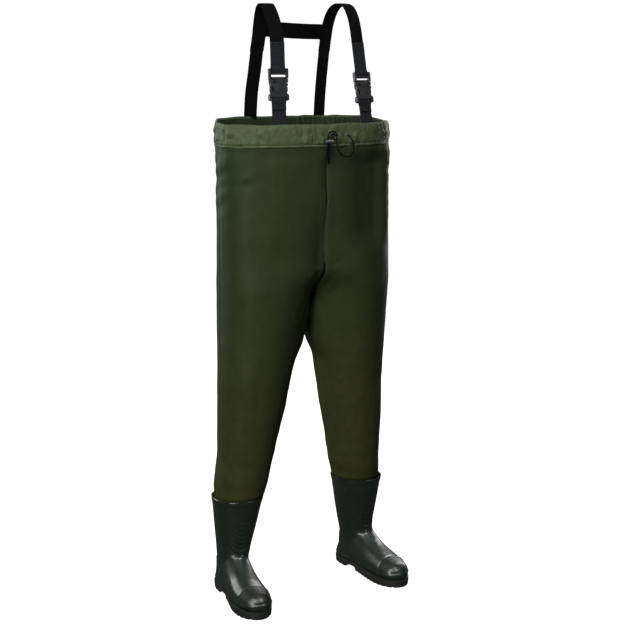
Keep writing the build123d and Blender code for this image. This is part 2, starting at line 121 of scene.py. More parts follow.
def set_uv(obj, uv):
    """One UV per vertex, in metres, for weave that follows the cloth."""
    layer = obj.data.uv_layers.new(name="weave")
    index = np.empty(len(obj.data.loops), dtype=np.int32)
    obj.data.loops.foreach_get("vertex_index", index)
    layer.data.foreach_set("uv", np.asarray(uv, dtype=np.float32)[index].ravel())


def modifier(obj, kind, **values):
    """Adds a modifier with the given settings."""
    mod = obj.modifiers.new(kind.lower(), kind)
    for key, value in values.items():
        setattr(mod, key, value)
    return mod


def apply_modifiers(obj):
    """Bakes the modifiers into the mesh."""
    depsgraph = bpy.context.evaluated_depsgraph_get()
    mesh = bpy.data.meshes.new_from_object(obj.evaluated_get(depsgraph), depsgraph=depsgraph)
    obj.modifiers.clear()
    obj.data = mesh


def bump(distance, low, high):
    """A smooth step from 0 at low to 1 at high."""
    t = np.clip((distance - low) / (high - low), 0, 1)
    return t * t * (3 - 2 * t)


def noise_at(points, scale, seed=0.0):
    """Smooth noise, about -1 to 1, at each point times scale."""
    sx, sy, sz = scale
    flat = points.reshape(-1, 3)
    values = [noise.noise((x * sx + seed, y * sy, z * sz - seed)) for x, y, z in flat.tolist()]
    return np.array(values).reshape(points.shape[:-1])


# ---------------------------------------------------------------- materials
class Shader:
    """Builds one node material step by step."""

    def __init__(self, name, color, roughness, **inputs):
        self.material = bpy.data.materials.new(name)
        self.material.use_nodes = True
        self.nodes = self.material.node_tree.nodes
        self.links = self.material.node_tree.links
        self.principled = self.nodes["Principled BSDF"]
        self.principled.inputs["Base Color"].default_value = (*color, 1)
        self.principled.inputs["Roughness"].default_value = roughness
        for key, value in inputs.items():
            self.principled.inputs[key.replace("_", " ")].default_value = value
        self.height = None

    def node(self, kind, inputs=(), **settings):
        made = self.nodes.new(kind)
        for key, value in settings.items():
            setattr(made, key, value)
        for key, value in dict(inputs).items():
            if isinstance(value, bpy.types.NodeSocket):
                self.links.new(value, made.inputs[key])
            else:
                made.inputs[key].default_value = value
        return made

    def coordinate(self, kind="Object", scale=(1, 1, 1)):
        source = self.node("ShaderNodeTexCoord").outputs[kind]
        return self.node("ShaderNodeMapping", {"Vector": source, "Scale": scale}).outputs[0]

    def noise(self, scale, detail=3, stretch=(1, 1, 1), kind="Object", rough=0.55):
        at = self.coordinate(kind, stretch)
        inputs = {"Vector": at, "Scale": scale, "Detail": detail, "Roughness": rough}
        return self.node("ShaderNodeTexNoise", inputs).outputs["Fac"]

    def wave(self, scale, stretch=(1, 1, 1), kind="UV", direction="X", distortion=0.0):
        at = self.coordinate(kind, stretch)
        inputs = {"Vector": at, "Scale": scale, "Distortion": distortion}
        return self.node("ShaderNodeTexWave", inputs, bands_direction=direction).outputs["Fac"]

    def math(self, operation, a, b=0.5):
        return self.node("ShaderNodeMath", {0: a, 1: b}, operation=operation).outputs[0]

    def ramp(self, value, low, high, a, b):
        inputs = {"Value": value, "From Min": low, "From Max": high, "To Min": a, "To Max": b}
        return self.node("ShaderNodeMapRange", inputs).outputs[0]

    def mix_color(self, factor, a, b):
        made = self.node("ShaderNodeMix", data_type="RGBA")
        self.links.new(factor, made.inputs["Factor"])
        for key, value in ((6, a), (7, b)):
            if isinstance(value, bpy.types.NodeSocket):
                self.links.new(value, made.inputs[key])
            else:
                made.inputs[key].default_value = (*value, 1)
        return made.outputs[2]

    def color(self, socket):
        self.links.new(socket, self.principled.inputs["Base Color"])

    def roughness(self, socket):
        self.links.new(socket, self.principled.inputs["Roughness"])

    def add_bump(self, height, distance, strength=1.0):
        """Stacks a bump of the given height in metres on the ones before it."""
        made = self.node("ShaderNodeBump", {"Height": height, "Distance": distance, "Strength": strength})
        if self.height:
            self.links.new(self.height, made.inputs["Normal"])
        self.height = made.outputs[0]
        self.links.new(self.height, self.principled.inputs["Normal"])


def cloth_material(name, green, olive, roughness, crumple=0.0):
    """Coated nylon: fine plain weave under a dull coating, more olive down the legs, scuffed in places, with
    painted light that turns the wearer's left half more olive from the hips down.
    """
    s = Shader(name, green, roughness, Specular_IOR_Level=0.12)
    place = s.node("ShaderNodeSeparateXYZ", {0: s.coordinate("Object")}).outputs
    patch = s.noise(4.5, 4, (1, 1, 0.4))
    tone = s.math("ADD", s.ramp(place[2], 0.38, 0.92, 0.94, 0.04), s.ramp(patch, 0.3, 0.7, -0.12, 0.22))
    # painted light: the wearer's left half is mixed more olive and lighter from the hips down, standing in
    # for how light falls on it
    painted_light_left_half = s.ramp(place[0], -0.01, 0.05, 0.0, 1.0)
    painted_light_down_legs = s.ramp(place[2], 0.60, 1.15, 0.42, 0.0)
    tone = s.math("ADD", tone, s.math("MULTIPLY", painted_light_left_half, painted_light_down_legs))
    base = s.mix_color(tone, green, olive)
    dark = tuple(c * 0.72 for c in green)
    base = s.mix_color(s.ramp(s.noise(38, 5), 0.35, 0.75, 0.0, 0.45), base, dark)
    s.color(base)
    scuff = s.noise(14, 6, (1, 1, 0.6))
    s.roughness(s.ramp(scuff, 0.25, 0.75, roughness - 0.07, roughness + 0.10))
    warp = s.wave(310, kind="UV", direction="X")
    weft = s.wave(310, kind="UV", direction="Y")
    s.add_bump(s.math("MULTIPLY", warp, weft), 0.00012, 0.5)
    s.add_bump(s.noise(60, 4), 0.0006, 0.5)
    s.add_bump(s.noise(17, 4, (1, 1, 0.55)), 0.0022, 0.55)
    if crumple:
        fold = s.math("ABSOLUTE", s.math("SUBTRACT", s.noise(34, 2, (1, 1, 0.8), rough=0.4), 0.5))
        s.add_bump(s.ramp(fold, 0.0, 0.10, 0.0, 1.0), crumple, 0.8)
    return s.material


def webbing_material(name, color, sheen, gloss=0.2):
    """Woven polypropylene: twill ribs along the strap and a firmer selvedge."""
    s = Shader(name, color, 0.88, Specular_IOR_Level=gloss, Sheen_Weight=sheen, Sheen_Roughness=0.4)
    s.principled.inputs["Sheen Tint"].default_value = (0.8, 0.85, 1.0, 1)
    ribs = s.wave(160, kind="UV", direction="X")
    picks = s.wave(230, (1, 1, 1), "UV", "DIAGONAL", 0.4)
    faded = tuple(c * 1.9 + 0.0006 for c in color)
    s.color(s.mix_color(s.ramp(s.noise(120, 4), 0.3, 0.7, 0.0, 0.6), color, faded))
    s.add_bump(s.math("MULTIPLY", ribs, picks), 0.0002, 0.6)
    s.add_bump(s.noise(260, 3), 0.0001, 0.4)
    return s.material


def plastic_material(name, color, roughness):
    """Moulded nylon or acetal with a fine spark-eroded texture and light scratches."""
    s = Shader(name, color, roughness, Specular_IOR_Level=0.5)
    grain = s.noise(1400, 3)
    s.roughness(s.ramp(s.noise(70, 5), 0.3, 0.7, roughness - 0.08, roughness + 0.12))
    s.add_bump(grain, 0.00003, 0.3)
    s.add_bump(s.noise(220, 2, (1, 1, 0.15)), 0.00006, 0.35)
    s.color(s.mix_color(s.ramp(s.noise(30, 3), 0.3, 0.7, 0, 1), color, tuple(c * 1.5 for c in color)))
    return s.material


def rubber_material(name, color, roughness, coat):
    """Moulded PVC boot: low gloss, slightly uneven skin, paler scuffs and dust in patches."""
    s = Shader(name, color, roughness, Specular_IOR_Level=0.5, Coat_Weight=coat, Coat_Roughness=0.16)
    base = s.mix_color(s.ramp(s.noise(7, 4), 0.3, 0.7, 0, 1), color, tuple(c * 1.45 for c in color))
    scuffs = s.ramp(s.noise(26, 8, (1, 1, 0.5), rough=0.7), 0.62, 0.78, 0, 0.35)
    s.color(s.mix_color(scuffs, base, (0.06, 0.065, 0.055)))
    s.roughness(s.ramp(s.noise(40, 6), 0.3, 0.75, roughness - 0.07, roughness + 0.14))
    s.add_bump(s.noise(900, 2), 0.00004, 0.5)
    s.add_bump(s.noise(45, 3), 0.0005, 0.35)
    return s.material


CLOTH = cloth_material("coated_cloth", (0.0172, 0.0286, 0.0092), (0.0375, 0.0400, 0.0110), 0.54)
# the hem's outer face: its own paler, uncoated cloth, made paler still by painted light from above
HEM_CLOTH_WITH_PAINTED_LIGHT = cloth_material("hem_cloth_with_painted_light", (0.060, 0.081, 0.037), (0.060, 0.081, 0.037), 0.48, 0.0016)
HEM_INSIDE = cloth_material("hem_inside", (0.019, 0.029, 0.010), (0.019, 0.029, 0.010), 0.60)
# the cloth's inner coating, its colour darkened as painted shade for the inside of the garment
LINING_WITH_PAINTED_SHADE = cloth_material("cloth_inner_coating_with_painted_shade", (0.008, 0.013, 0.005), (0.008, 0.011, 0.004), 0.6)
TAPE = plastic_material("seam_tape_film", (0.014, 0.019, 0.011), 0.42)
WEBBING = webbing_material("black_webbing", (0.0006, 0.0006, 0.0006), 0.0, 0.08)
FRONT_WEBBING = webbing_material("front_webbing", (0.0062, 0.0074, 0.0092), 0.02, 0.14)
THREAD = webbing_material("thread", (0.006, 0.006, 0.006), 0.05)
HEM_THREAD = webbing_material("hem_thread", (0.030, 0.040, 0.020), 0.05)
CORD = webbing_material("drawcord_braid", (0.0010, 0.0010, 0.0010), 0.0, 0.05)
PLASTIC = plastic_material("buckle_plastic", (0.0120, 0.0126, 0.0140), 0.31)
EYELET = plastic_material("eyelet_enamel", (0.012, 0.012, 0.011), 0.30)
BOOT = rubber_material("boot_rubber", (0.0085, 0.0145, 0.0092), 0.33, 0.18)
SOLE = rubber_material("sole_rubber", (0.0075, 0.0095, 0.0075), 0.55, 0.0)
FOOTBED = webbing_material("footbed_felt", (0.02, 0.02, 0.02), 0.3)
STEEL = plastic_material("spring_steel", (0.4, 0.4, 0.42), 0.3)
STEEL.node_tree.nodes["Principled BSDF"].inputs["Metallic"].default_value = 1.0

# ---------------------------------------------------------------- the garment's cloth
# cross-section at each height: z, middle x, half width, middle y, half depth, squareness
SECTIONS = np.array((
    (1.345, 0.0000, 0.2620, 0.0000, 0.1260, 2.40),
    (1.280, 0.0000, 0.2620, 0.0000, 0.1260, 2.40),
    (1.180, 0.0000, 0.2610, 0.0000, 0.1262, 2.40),
    (1.020, 0.0000, 0.2615, 0.0000, 0.1275, 2.45),
    (0.988, 0.0080, 0.2540, 0.0000, 0.1288, 2.42),
    (0.962, 0.0340, 0.2280, 0.0000, 0.1282, 2.36),
    (0.940, 0.0700, 0.1920, 0.0000, 0.1274, 2.30),
    (0.920, 0.1000, 0.1620, 0.0008, 0.1264, 2.25),
    (0.900, 0.1250, 0.1365, 0.0014, 0.1250, 2.20),
    (0.872, 0.1310, 0.1300, 0.0025, 0.1228, 2.16),
    (0.820, 0.1370, 0.1240, 0.0050, 0.1186, 2.10),
    (0.720, 0.1490, 0.1130, 0.0100, 0.1100, 2.04),
    (0.550, 0.1630, 0.0980, 0.0240, 0.0970, 2.00),
    (0.400, 0.1810, 0.0790, 0.0360, 0.0830, 2.00),
    (0.290, 0.1960, 0.0660, 0.0460, 0.0700, 2.00),
    (0.256, 0.1990, 0.0612, 0.0485, 0.0675, 2.00),
))
CLOTH_TOP, CLOTH_END = 1.288, 0.256
CROTCH_Z = 0.945
ROW_STEP, COLUMNS = 0.005, 116


def section(z):
    """The cross-section's five sizes at height z, smoothed over the table's corners."""
    heights = SECTIONS[::-1, 0]
    row = np.zeros(5)
    for offset, weight in ((-0.02, 0.15), (-0.01, 0.2), (0, 0.3), (0.01, 0.2), (0.02, 0.15)):
        at = min(max(z + offset, CLOTH_END), CLOTH_TOP)
        row += weight * np.array([np.interp(at, heights, SECTIONS[::-1, k]) for k in range(1, 6)])
    return row


def half_outline(z, count):
    """One half's outline at height z for +X, front middle to back middle, evenly spaced."""
    cx, a, cy, b, n = section(z)
    end = math.acos(-min(1.0, cx / a) ** (n / 2)) if cx < a else math.pi
    t = np.linspace(-end, end, 400)
    c, s = np.cos(t), np.sin(t)
    x = cx + a * np.sign(c) * np.abs(c) ** (2 / n)
    y = BODY_Y + cy + b * np.sign(s) * np.abs(s) ** (2 / n)
    length = np.concatenate(([0], np.cumsum(np.hypot(np.diff(x), np.diff(y)))))
    even = np.linspace(0, length[-1], count)
    return np.interp(even, length, x), np.interp(even, length, y), even


def cloth_displacement(p, along, total, side):
    """How far each point of a half stands out from the smooth shape: folds, gathers and seams."""
    z = p[..., 2]
    front = p[..., 1] < BODY_Y
    seed = 3.1 if side > 0 else 11.7
    from_back = total - along
    near = np.minimum(along, from_back)
    d = 0.0070 * noise_at(p, (6.0, 6.0, 1.2), seed)
    d += 0.0030 * noise_at(p, (14, 14, 2.6), seed + 5)
    # each half of the chest rounds off by itself, the wearer's left one falling away to the side
    chest = bump(z, 0.97, 1.05) * (1 - bump(z, 1.22, 1.27)) * front
    wide = np.abs(p[..., 0])
    if side > 0:
        d -= 0.0160 * chest * bump(wide, 0.02, 0.16) * (1 - bump(wide, 0.17, 0.24))
    else:
        d += 0.0060 * chest * np.exp(-((wide - 0.14) / 0.07) ** 2)
    d -= 0.0050 * chest * np.exp(-(near / 0.030) ** 2)
    # long slanting drags from hip to crotch, and small crumples of the coating
    slanted = np.stack((p[..., 0] * 0.8 + p[..., 2] * 0.45 * side, p[..., 1], p[..., 2] * 0.35), axis=-1)
    patches = 0.35 + 0.65 * noise_at(p, (5, 5, 4), seed + 12)
    d += 0.0018 * noise_at(slanted, (26, 26, 9), seed + 9) * patches
    d += 0.0007 * noise_at(p, (42, 42, 22), seed + 3)
    # gathers that the drawcord leaves under the hem
    gather = np.exp(-(HEM_BOTTOM - z) / 0.040)
    d += gather * 0.0032 * noise_at(p, (40, 40, 6), seed + 2)
    # short creases down the outer edge, below the hem
    edge = bump(np.abs(p[..., 0]), 0.17, 0.235) * bump(z, 1.02, 1.2)
    bent = np.stack((p[..., 0], p[..., 1], p[..., 2] + 0.4 * p[..., 1]), axis=-1)
    d += edge * 0.0042 * noise_at(bent, (13, 13, 34), seed + 7)
    # the middle sinks in towards the crotch, where the two legs part
    valley = bump(-z, -1.16, -0.965) * bump(z, 0.880, 0.965)
    d -= 0.0170 * valley * np.exp(-(near / 0.045) ** 2)
    d -= 0.0040 * bump(z, 1.14, 1.18) * (1 - bump(z, 1.235, 1.265)) * np.exp(-(near / 0.016) ** 2) * front
    # folds that run outwards and down from the crotch
    dz = z - CROTCH_Z
    radius = np.hypot(near, dz)
    for slope, reach, deep in ((-0.75, 0.13, 0.0034), (0.55, 0.08, 0.0020), (-1.8, 0.17, 0.0034)):
        off = (dz - slope * near + 0.9 * near ** 2) / math.hypot(1, slope)
        wide = 0.006 + 0.10 * near
        d -= deep * np.exp(-(off / wide) ** 2) * bump(near, 0.004, 0.03) * np.exp(-(radius / reach) ** 2)
    # bunching just above the boots, and soft bends at the knees
    inner = np.exp(-(near / 0.060) ** 2) * bump(z, 0.60, 0.70) * (1 - bump(z, 0.80, 0.90))
    d = d * (1 - inner) + 0.0200 * inner * bump(z, 0.66, 0.74)
    ankle = bump(z, 0.295, 0.325) * (1 - bump(z, 0.36, 0.50))
    d += ankle * 0.0030 * noise_at(p, (9, 9, 24), seed + 4)
    knee = np.exp(-((z - 0.60) / 0.09) ** 2)
    d += knee * 0.0030 * noise_at(p, (9, 9, 13), seed + 6)
    fade = bump(z, 0.286, 0.305)
    d *= fade * (1 - 0.6 * bump(z, HEM_BOTTOM - 0.03, HEM_BOTTOM - 0.004))
    d += 0.0044 * bump(z, BOOT_TOP + 0.001, BOOT_TOP + 0.009) * (1 - bump(z, 0.33, 0.42))
    # seams: a welded lap with a crease beside it
    above = bump(z, 0.925, 0.95)
    groove = -0.0016 * np.exp(-(near / 0.0045) ** 2) + 0.0010 * np.exp(-((near - 0.013) / 0.005) ** 2)
    d += fade * groove * (0.45 + 0.55 * above)
    middle = np.abs(along - total / 2)
    lap = -0.0009 * np.exp(-(middle / 0.004) ** 2) + 0.0007 * np.exp(-((middle - 0.012) / 0.005) ** 2)
    d += fade * lap
    return d


def settled(p):
    """The torso hangs a little narrower on the wearer's left than its flat pattern."""
    share = bump(p[..., 2], 0.42, 0.75) * (np.maximum(p[..., 0], 0) / RIM_A) ** 2
    moved = p.copy()
    moved[..., 0] -= 0.0130 * share
    return moved


def cloth_grid(side):
    """Points of one half of the garment, rows from the top, with UVs in metres."""
    heights = np.arange(CLOTH_TOP, CLOTH_END, -ROW_STEP)
    p = np.zeros((len(heights), COLUMNS, 3))
    along = np.zeros((len(heights), COLUMNS))
    for i, z in enumerate(heights):
        x, y, even = half_outline(z, COLUMNS)
        p[i, :, 0], p[i, :, 1], p[i, :, 2] = x, y, z
        along[i] = even
    total = along[:, -1:]
    across = np.gradient(p, axis=1)
    down = np.gradient(p, axis=0)
    normal = np.cross(across, down)
    normal /= np.linalg.norm(normal, axis=2, keepdims=True) + 1e-9
    outward = p - np.array((0.13, BODY_Y, 0)) * np.ones_like(p)
    if (normal * outward)[..., :2].sum() < 0:
        normal = -normal
    mirrored = p * np.array((side, 1, 1))
    d = cloth_displacement(mirrored, along, total, side)
    p = p + normal * d[..., None]
    p[..., 0] = np.maximum(p[..., 0], 0.0)
    torso_rows = np.array([section(z)[0] < section(z)[1] for z in heights])
    p[np.ix_(torso_rows, [0, -1], [0])] = 0.0
    p[..., 0] *= side
    p = settled(p)
    uv = np.stack((along - total / 2, p[..., 2]), axis=-1)
    return p, normal * np.array((side, 1, 1)), uv, along, total


def garment_cloth():
    """Right and left halves of the cloth, joined along the centre seam and each inner leg seam."""
    made = {}
    for name, side in SIDES:
        p, normal, uv, along, total = cloth_grid(side)
        rows, columns = p.shape[:2]
        faces = grid_faces(rows, columns)
        if side > 0:
            faces = [tuple(reversed(f)) for f in faces]
        panels = (f"{name}_front_panel", f"{name}_back_panel")
        obj = piece(f"{name}_cloth", p.reshape(-1, 3), faces, [CLOTH, LINING_WITH_PAINTED_SHADE], stands_for=panels)
        set_uv(obj, uv.reshape(-1, 2))
        modifier(obj, "SOLIDIFY", thickness=0.0010, offset=-1.0, material_offset=1, material_offset_rim=0)
        made[side] = (p, normal, along, total)
    return made


# ---------------------------------------------------------------- the folded hem
HEM_COLUMNS = 560
# profile round the fold: distance outside the torso's outline, height above the hem's lower edge
HEM_PROFILE = (
    (0.0000, -0.0030), (0.0016, -0.0026), (0.0022, -0.0004), (0.0020, 0.0012), (0.0006, 0.0026),
    (0.0006, 0.0036), (0.0014, 0.0052), (0.0020, 0.0090), (0.0023, 0.0150), (0.0024, 0.0215),
    (0.0024, 0.0280), (0.0023, 0.0340), (0.0021, 0.0400), (0.0016, 0.0460), (0.0004, 0.0515),
    (-0.0014, 0.0560), (-0.0030, 0.0592), (-0.0040, 0.0603), (-0.0050, 0.0592), (-0.0060, 0.0560),
    (-0.0071, 0.0500), (-0.0079, 0.0430), (-0.0080, 0.0360), (-0.0080, 0.0290), (-0.0079, 0.0220),
    (-0.0077, 0.0150), (-0.0072, 0.0085), (-0.0058, 0.0040), (-0.0046, 0.0010), (-0.0034, -0.0020),
)


def rim_frame(count):
    """Points round the rim's outline with their outward directions and distance along it."""
    t = np.linspace(-math.pi / 2, 1.5 * math.pi, 4001)
    c, s = np.cos(t), np.sin(t)
    x = RIM_A * np.sign(c) * np.abs(c) ** (2 / RIM_N)
    y = RIM_B * np.sign(s) * np.abs(s) ** (2 / RIM_N)
    length = np.concatenate(([0], np.cumsum(np.hypot(np.diff(x), np.diff(y)))))
    even = np.linspace(0, length[-1], count, endpoint=False)
    x, y = np.interp(even, length, x), np.interp(even, length, y)
    nx = np.sign(x) * np.abs(x / RIM_A) ** (RIM_N - 1) / RIM_A
    ny = np.sign(y) * np.abs(y / RIM_B) ** (RIM_N - 1) / RIM_B
    size = np.hypot(nx, ny)
    return x, y + BODY_Y, nx / size, ny / size, even


RIM_Z = 1.340
STRAP_X = 0.136                  # where each lower strap leaves the hem
EYELET_X, EYELET_Z = (0.022, 0.061), 1.305
PLEAT, PLEAT_DEEP = 0.0160, 0.0058   # the gathers inside the back of the hem


def hem_points(profile, count=HEM_COLUMNS):
    """The hem's surface: profile rows by columns round the rim, with wrinkles and gathers."""
    x, y, nx, ny, even = rim_frame(count)
    behind = bump(y, BODY_Y - 0.03, BODY_Y + 0.09)
    lift = 0.010 * behind - 0.003 * (1 - behind)
    ones = np.stack((x, y, np.full_like(x, HEM_BOTTOM)), axis=-1)
    wave = 0.0024 * noise_at(ones, (16, 16, 1), 2.0) + 0.0008 * noise_at(ones, (45, 45, 1), 7.0)
    smooth_patch = np.exp(-((np.abs(x) - STRAP_X) / 0.032) ** 4) * (y < BODY_Y)
    eyelets = np.exp(-((x - 0.04) / 0.055) ** 2) * (y < BODY_Y)
    elastic = bump(x, 0.02, 0.05) * (1 - bump(x, 0.18, 0.22)) * (y > BODY_Y)
    rows = []
    for offset, height in profile:
        share = min(max(height / 0.06, 0), 1)
        z = HEM_BOTTOM + height + (lift + wave) * share
        at = np.stack((x, y, z), axis=-1)
        outer = offset > -0.0034
        crease = noise_at(at, (36, 36, 52), 4.0)
        fine = noise_at(at, (70, 70, 30), 8.0)
        slant = noise_at(np.stack((x + 0.8 * z, y, z - 0.5 * x), axis=-1), (60, 60, 16), 1.0)
        ridges = 0.3 - np.abs(noise_at(at + 0.3, (21, 21, 30), 5.0)) * 2
        leaning = np.stack((x + 0.5 * z, y, z), axis=-1)
        folds = 0.3 - np.abs(noise_at(leaning, (40, 40, 34), 6.0)) * 2
        rough = 0.0036 * crease + 0.0014 * fine + 0.0030 * slant + 0.0046 * ridges + 0.0036 * folds
        swell = math.sin(math.pi * min(max(share, 0.08), 0.93))
        rough *= (1 - 0.85 * smooth_patch) * (1 + 0.5 * eyelets) * swell
        if not outer:
            pleats = np.abs(np.sin(math.pi * even / PLEAT + crease)) ** 0.5
            rough = 0.5 * rough - PLEAT_DEEP * elastic * pleats * math.sin(math.pi * min(share, 0.8))
        spread = offset + rough
        if outer:
            for place in EYELET_X:
                flat = np.exp(-(((x - place) ** 2 + (z - EYELET_Z) ** 2) / 0.0095 ** 2) ** 2) * (y < BODY_Y)
                spread = spread * (1 - flat) + 0.0002 * flat
        if HEM_BOTTOM + height < RIM_Z - 0.012 and height > 0.004:
            spread = np.maximum(spread, -0.0011) if outer else np.minimum(spread, -0.0056)
        rows.append(np.stack((x + nx * spread, y + ny * spread, z), axis=-1))
    return settled(np.array(rows)), even


def chest_hem():
    """The folded casing round the chest, gathered by its drawcord."""
    p, even = hem_points(HEM_PROFILE)
    rows, columns = p.shape[:2]
    lengths = [f"{name}_{where}_hem_casing" for name, _ in SIDES for where in ("front", "back")]
    obj = piece("chest_hem", p.reshape(-1, 3), grid_faces(rows, columns, True, True),
                [HEM_CLOTH_WITH_PAINTED_LIGHT, HEM_INSIDE], stands_for=lengths)
    inner_from = 19
    inner = [int(i // columns >= inner_from) for i in range(rows * columns)]
    obj.data.polygons.foreach_set("material_index", inner)
    heights = np.repeat([[h] for _, h in HEM_PROFILE], columns, axis=1)
    uv = np.stack((np.tile(even, (rows, 1)), heights), axis=-1)
    set_uv(obj, uv.reshape(-1, 2))


# ---------------------------------------------------------------- stitches
def stitch_mesh(name, runs, material, body=ROOT, length=0.0026, width=0.00045):
    """Rows of thread stitches; each run is a list of (point, direction, normal)."""
    points, faces = [], []
    for centre, along, normal in runs:
        across = np.cross(along, normal)
        first = len(points)
        for place, swell in ((-0.5, 0.25), (-0.3, 1), (0.3, 1), (0.5, 0.25)):
            for u, v in ((1, 0), (0, 1), (-1, 0), (0, -1)):
                points.append(centre + along * length * place + (across * u + normal * v) * width * swell)
        for k in range(3):
            for m in range(4):
                a, b = first + 4 * k + m, first + 4 * k + (m + 1) % 4
                faces.append((a, b, b + 4, a + 4))
        faces.append((first + 3, first + 2, first + 1, first))
        faces.append((first + 12, first + 13, first + 14, first + 15))
    piece(name, points, faces, [material], body)


def hem_stitching():
    """Two rows of stitches that close the hem."""
    runs = []
    for offset, height in ((0.0010, 0.0031), (0.0026, 0.0078)):
        row = hem_points([(offset, height)], 340)[0][0]
        for i in range(len(row)):
            ahead, back = row[(i + 1) % len(row)], row[i - 1]
            along = (ahead - back) / np.linalg.norm(ahead - back)
            normal = np.array((along[1], -along[0], 0))
            if normal @ (row[i] - np.array((0, BODY_Y, row[i][2]))) < 0:
                normal = -normal
            runs.append((row[i], along, normal))
    stitch_mesh("hem_stitching", runs, HEM_THREAD)


# ---------------------------------------------------------------- seam tapes inside
def tape_film(tape, points, columns):
    """A thin film made of rows of points, for one seam tape."""
    obj = piece(tape + "_film", points, grid_faces(len(points) // columns, columns), [TAPE],
                stands_for=[tape])
    modifier(obj, "SOLIDIFY", thickness=0.0003, offset=0)


def seam_tapes(halves):
    """Film tapes over the inside of every long seam, a little inside the cloth."""
    width, depth, columns = 0.011, 0.0016, 7
    for name, side in SIDES:
        p, normal, along, total = halves[side]
        heights = p[:, 0, 2]
        leg = [i for i, z in enumerate(heights) if z < 0.865]
        for tape, rows in ((f"{name}_outseam_tape", range(len(heights))), (f"{name}_inseam_tape", leg)):
            points = []
            for i in rows:
                for k in range(columns):
                    s = (k / (columns - 1) - 0.5) * 2 * width
                    at = total[i, 0] / 2 + s if "outseam" in tape else s % total[i, 0]
                    q = [np.interp(at, along[i], p[i, :, m]) for m in range(3)]
                    n = np.array([np.interp(at, along[i], normal[i, :, m]) for m in range(3)])
                    points.append(np.array(q) - n * depth)
            tape_film(tape, points, columns)
    torso = [i for i, z in enumerate(halves[1][0][:, 0, 2]) if z > 0.96]
    for where, column in (("front", 0), ("back", -1)):
        points = []
        for i in torso:
            for side, order in ((-1, (3, 2, 1)), (1, (0, 1, 2, 3))):
                p, normal = halves[side][:2]
                for k in order:
                    j = k if column == 0 else -1 - k
                    points.append(p[i, j] - normal[i, j] * depth)
        tape_film(f"centre_{where}_seam_tape", points, columns)


# ---------------------------------------------------------------- boots
ANKLE = Vector((0.209, BODY_Y + 0.057, 0))
TOE_OUT = math.radians(4.5)
SOLE_TOP = 0.022
SHAFT = (
    (0.295, -0.0127, -0.0112, 0.0728, 0.0765), (0.250, -0.0105, -0.007, 0.0650, 0.0720),
    (0.200, -0.0080, -0.002, 0.0575, 0.0660), (0.150, -0.0050, 0.003, 0.0490, 0.0590),
    (0.105, -0.0010, 0.003, 0.0420, 0.0580), (0.060, 0.0000, 0.002, 0.0400, 0.0680),
    (0.022, 0.0000, 0.002, 0.0380, 0.0730),
)
FOOT = (
    (0.070, 0.000, 0.026, 0.050), (0.040, 0.000, 0.037, 0.080), (0.000, 0.000, 0.041, 0.125),
    (-0.040, 0.001, 0.042, 0.138), (-0.060, 0.002, 0.044, 0.119), (-0.080, 0.003, 0.0455, 0.104),
    (-0.100, 0.004, 0.0475, 0.093), (-0.130, 0.005, 0.0495, 0.082),
    (-0.165, 0.005, 0.0490, 0.073), (-0.198, 0.003, 0.0400, 0.062), (-0.214, 0.002, 0.0260, 0.050),
    (-0.2205, 0.002, 0.0120, 0.038),
)


def between(rows, at):
    """A table row at a position between the table's own, along its first column."""
    table = np.array(sorted(rows))
    return [np.interp(at, table[:, 0], table[:, k]) for k in range(1, table.shape[1])]


def closed_tube(rings):
    """A closed mesh through equal rings, capped at both ends."""
    return [p for ring in rings for p in ring], tube_faces(len(rings), len(rings[0]))


def boot_body():
    """Shaft and foot as two closed shapes that the remesh joins into one skin."""
    rings = []
    for z in np.linspace(SOLE_TOP - 0.001, 0.305, 40):
        cx, cy, a, b = between(SHAFT, min(z, 0.295))
        ring = []
        for k in range(64):
            t = 2 * math.pi * k / 64
            c, s = math.cos(t), math.sin(t)
            x, y = cx + a * math.copysign(abs(c) ** 0.93, c), cy + b * math.copysign(abs(s) ** 0.93, s)
            ring.append((x, y, z))
        rings.append(ring)
    points, faces = closed_tube(rings)
    rings = []
    for y in np.linspace(0.070, -0.2205, 60):
        cx, half, top = between(FOOT, y)
        ring = []
        for k in range(48):
            t = 2 * math.pi * k / 48
            c, s = math.cos(t), math.sin(t)
            low = SOLE_TOP - 0.001
            middle = low + 0.40 * (top - low)
            z = middle + (top - middle) * s ** 1.05 if s >= 0 else middle - (middle - low) * abs(s) ** 0.45
            x = cx + half * math.copysign(abs(c) ** (0.80 if s < 0 else 0.92), c)
            ring.append((x, y, z))
        rings.append(ring)
    foot_points, foot_faces = closed_tube(rings)
    shift = len(points)
    faces += [tuple(i + shift for i in f) for f in foot_faces]
    return points + foot_points, faces


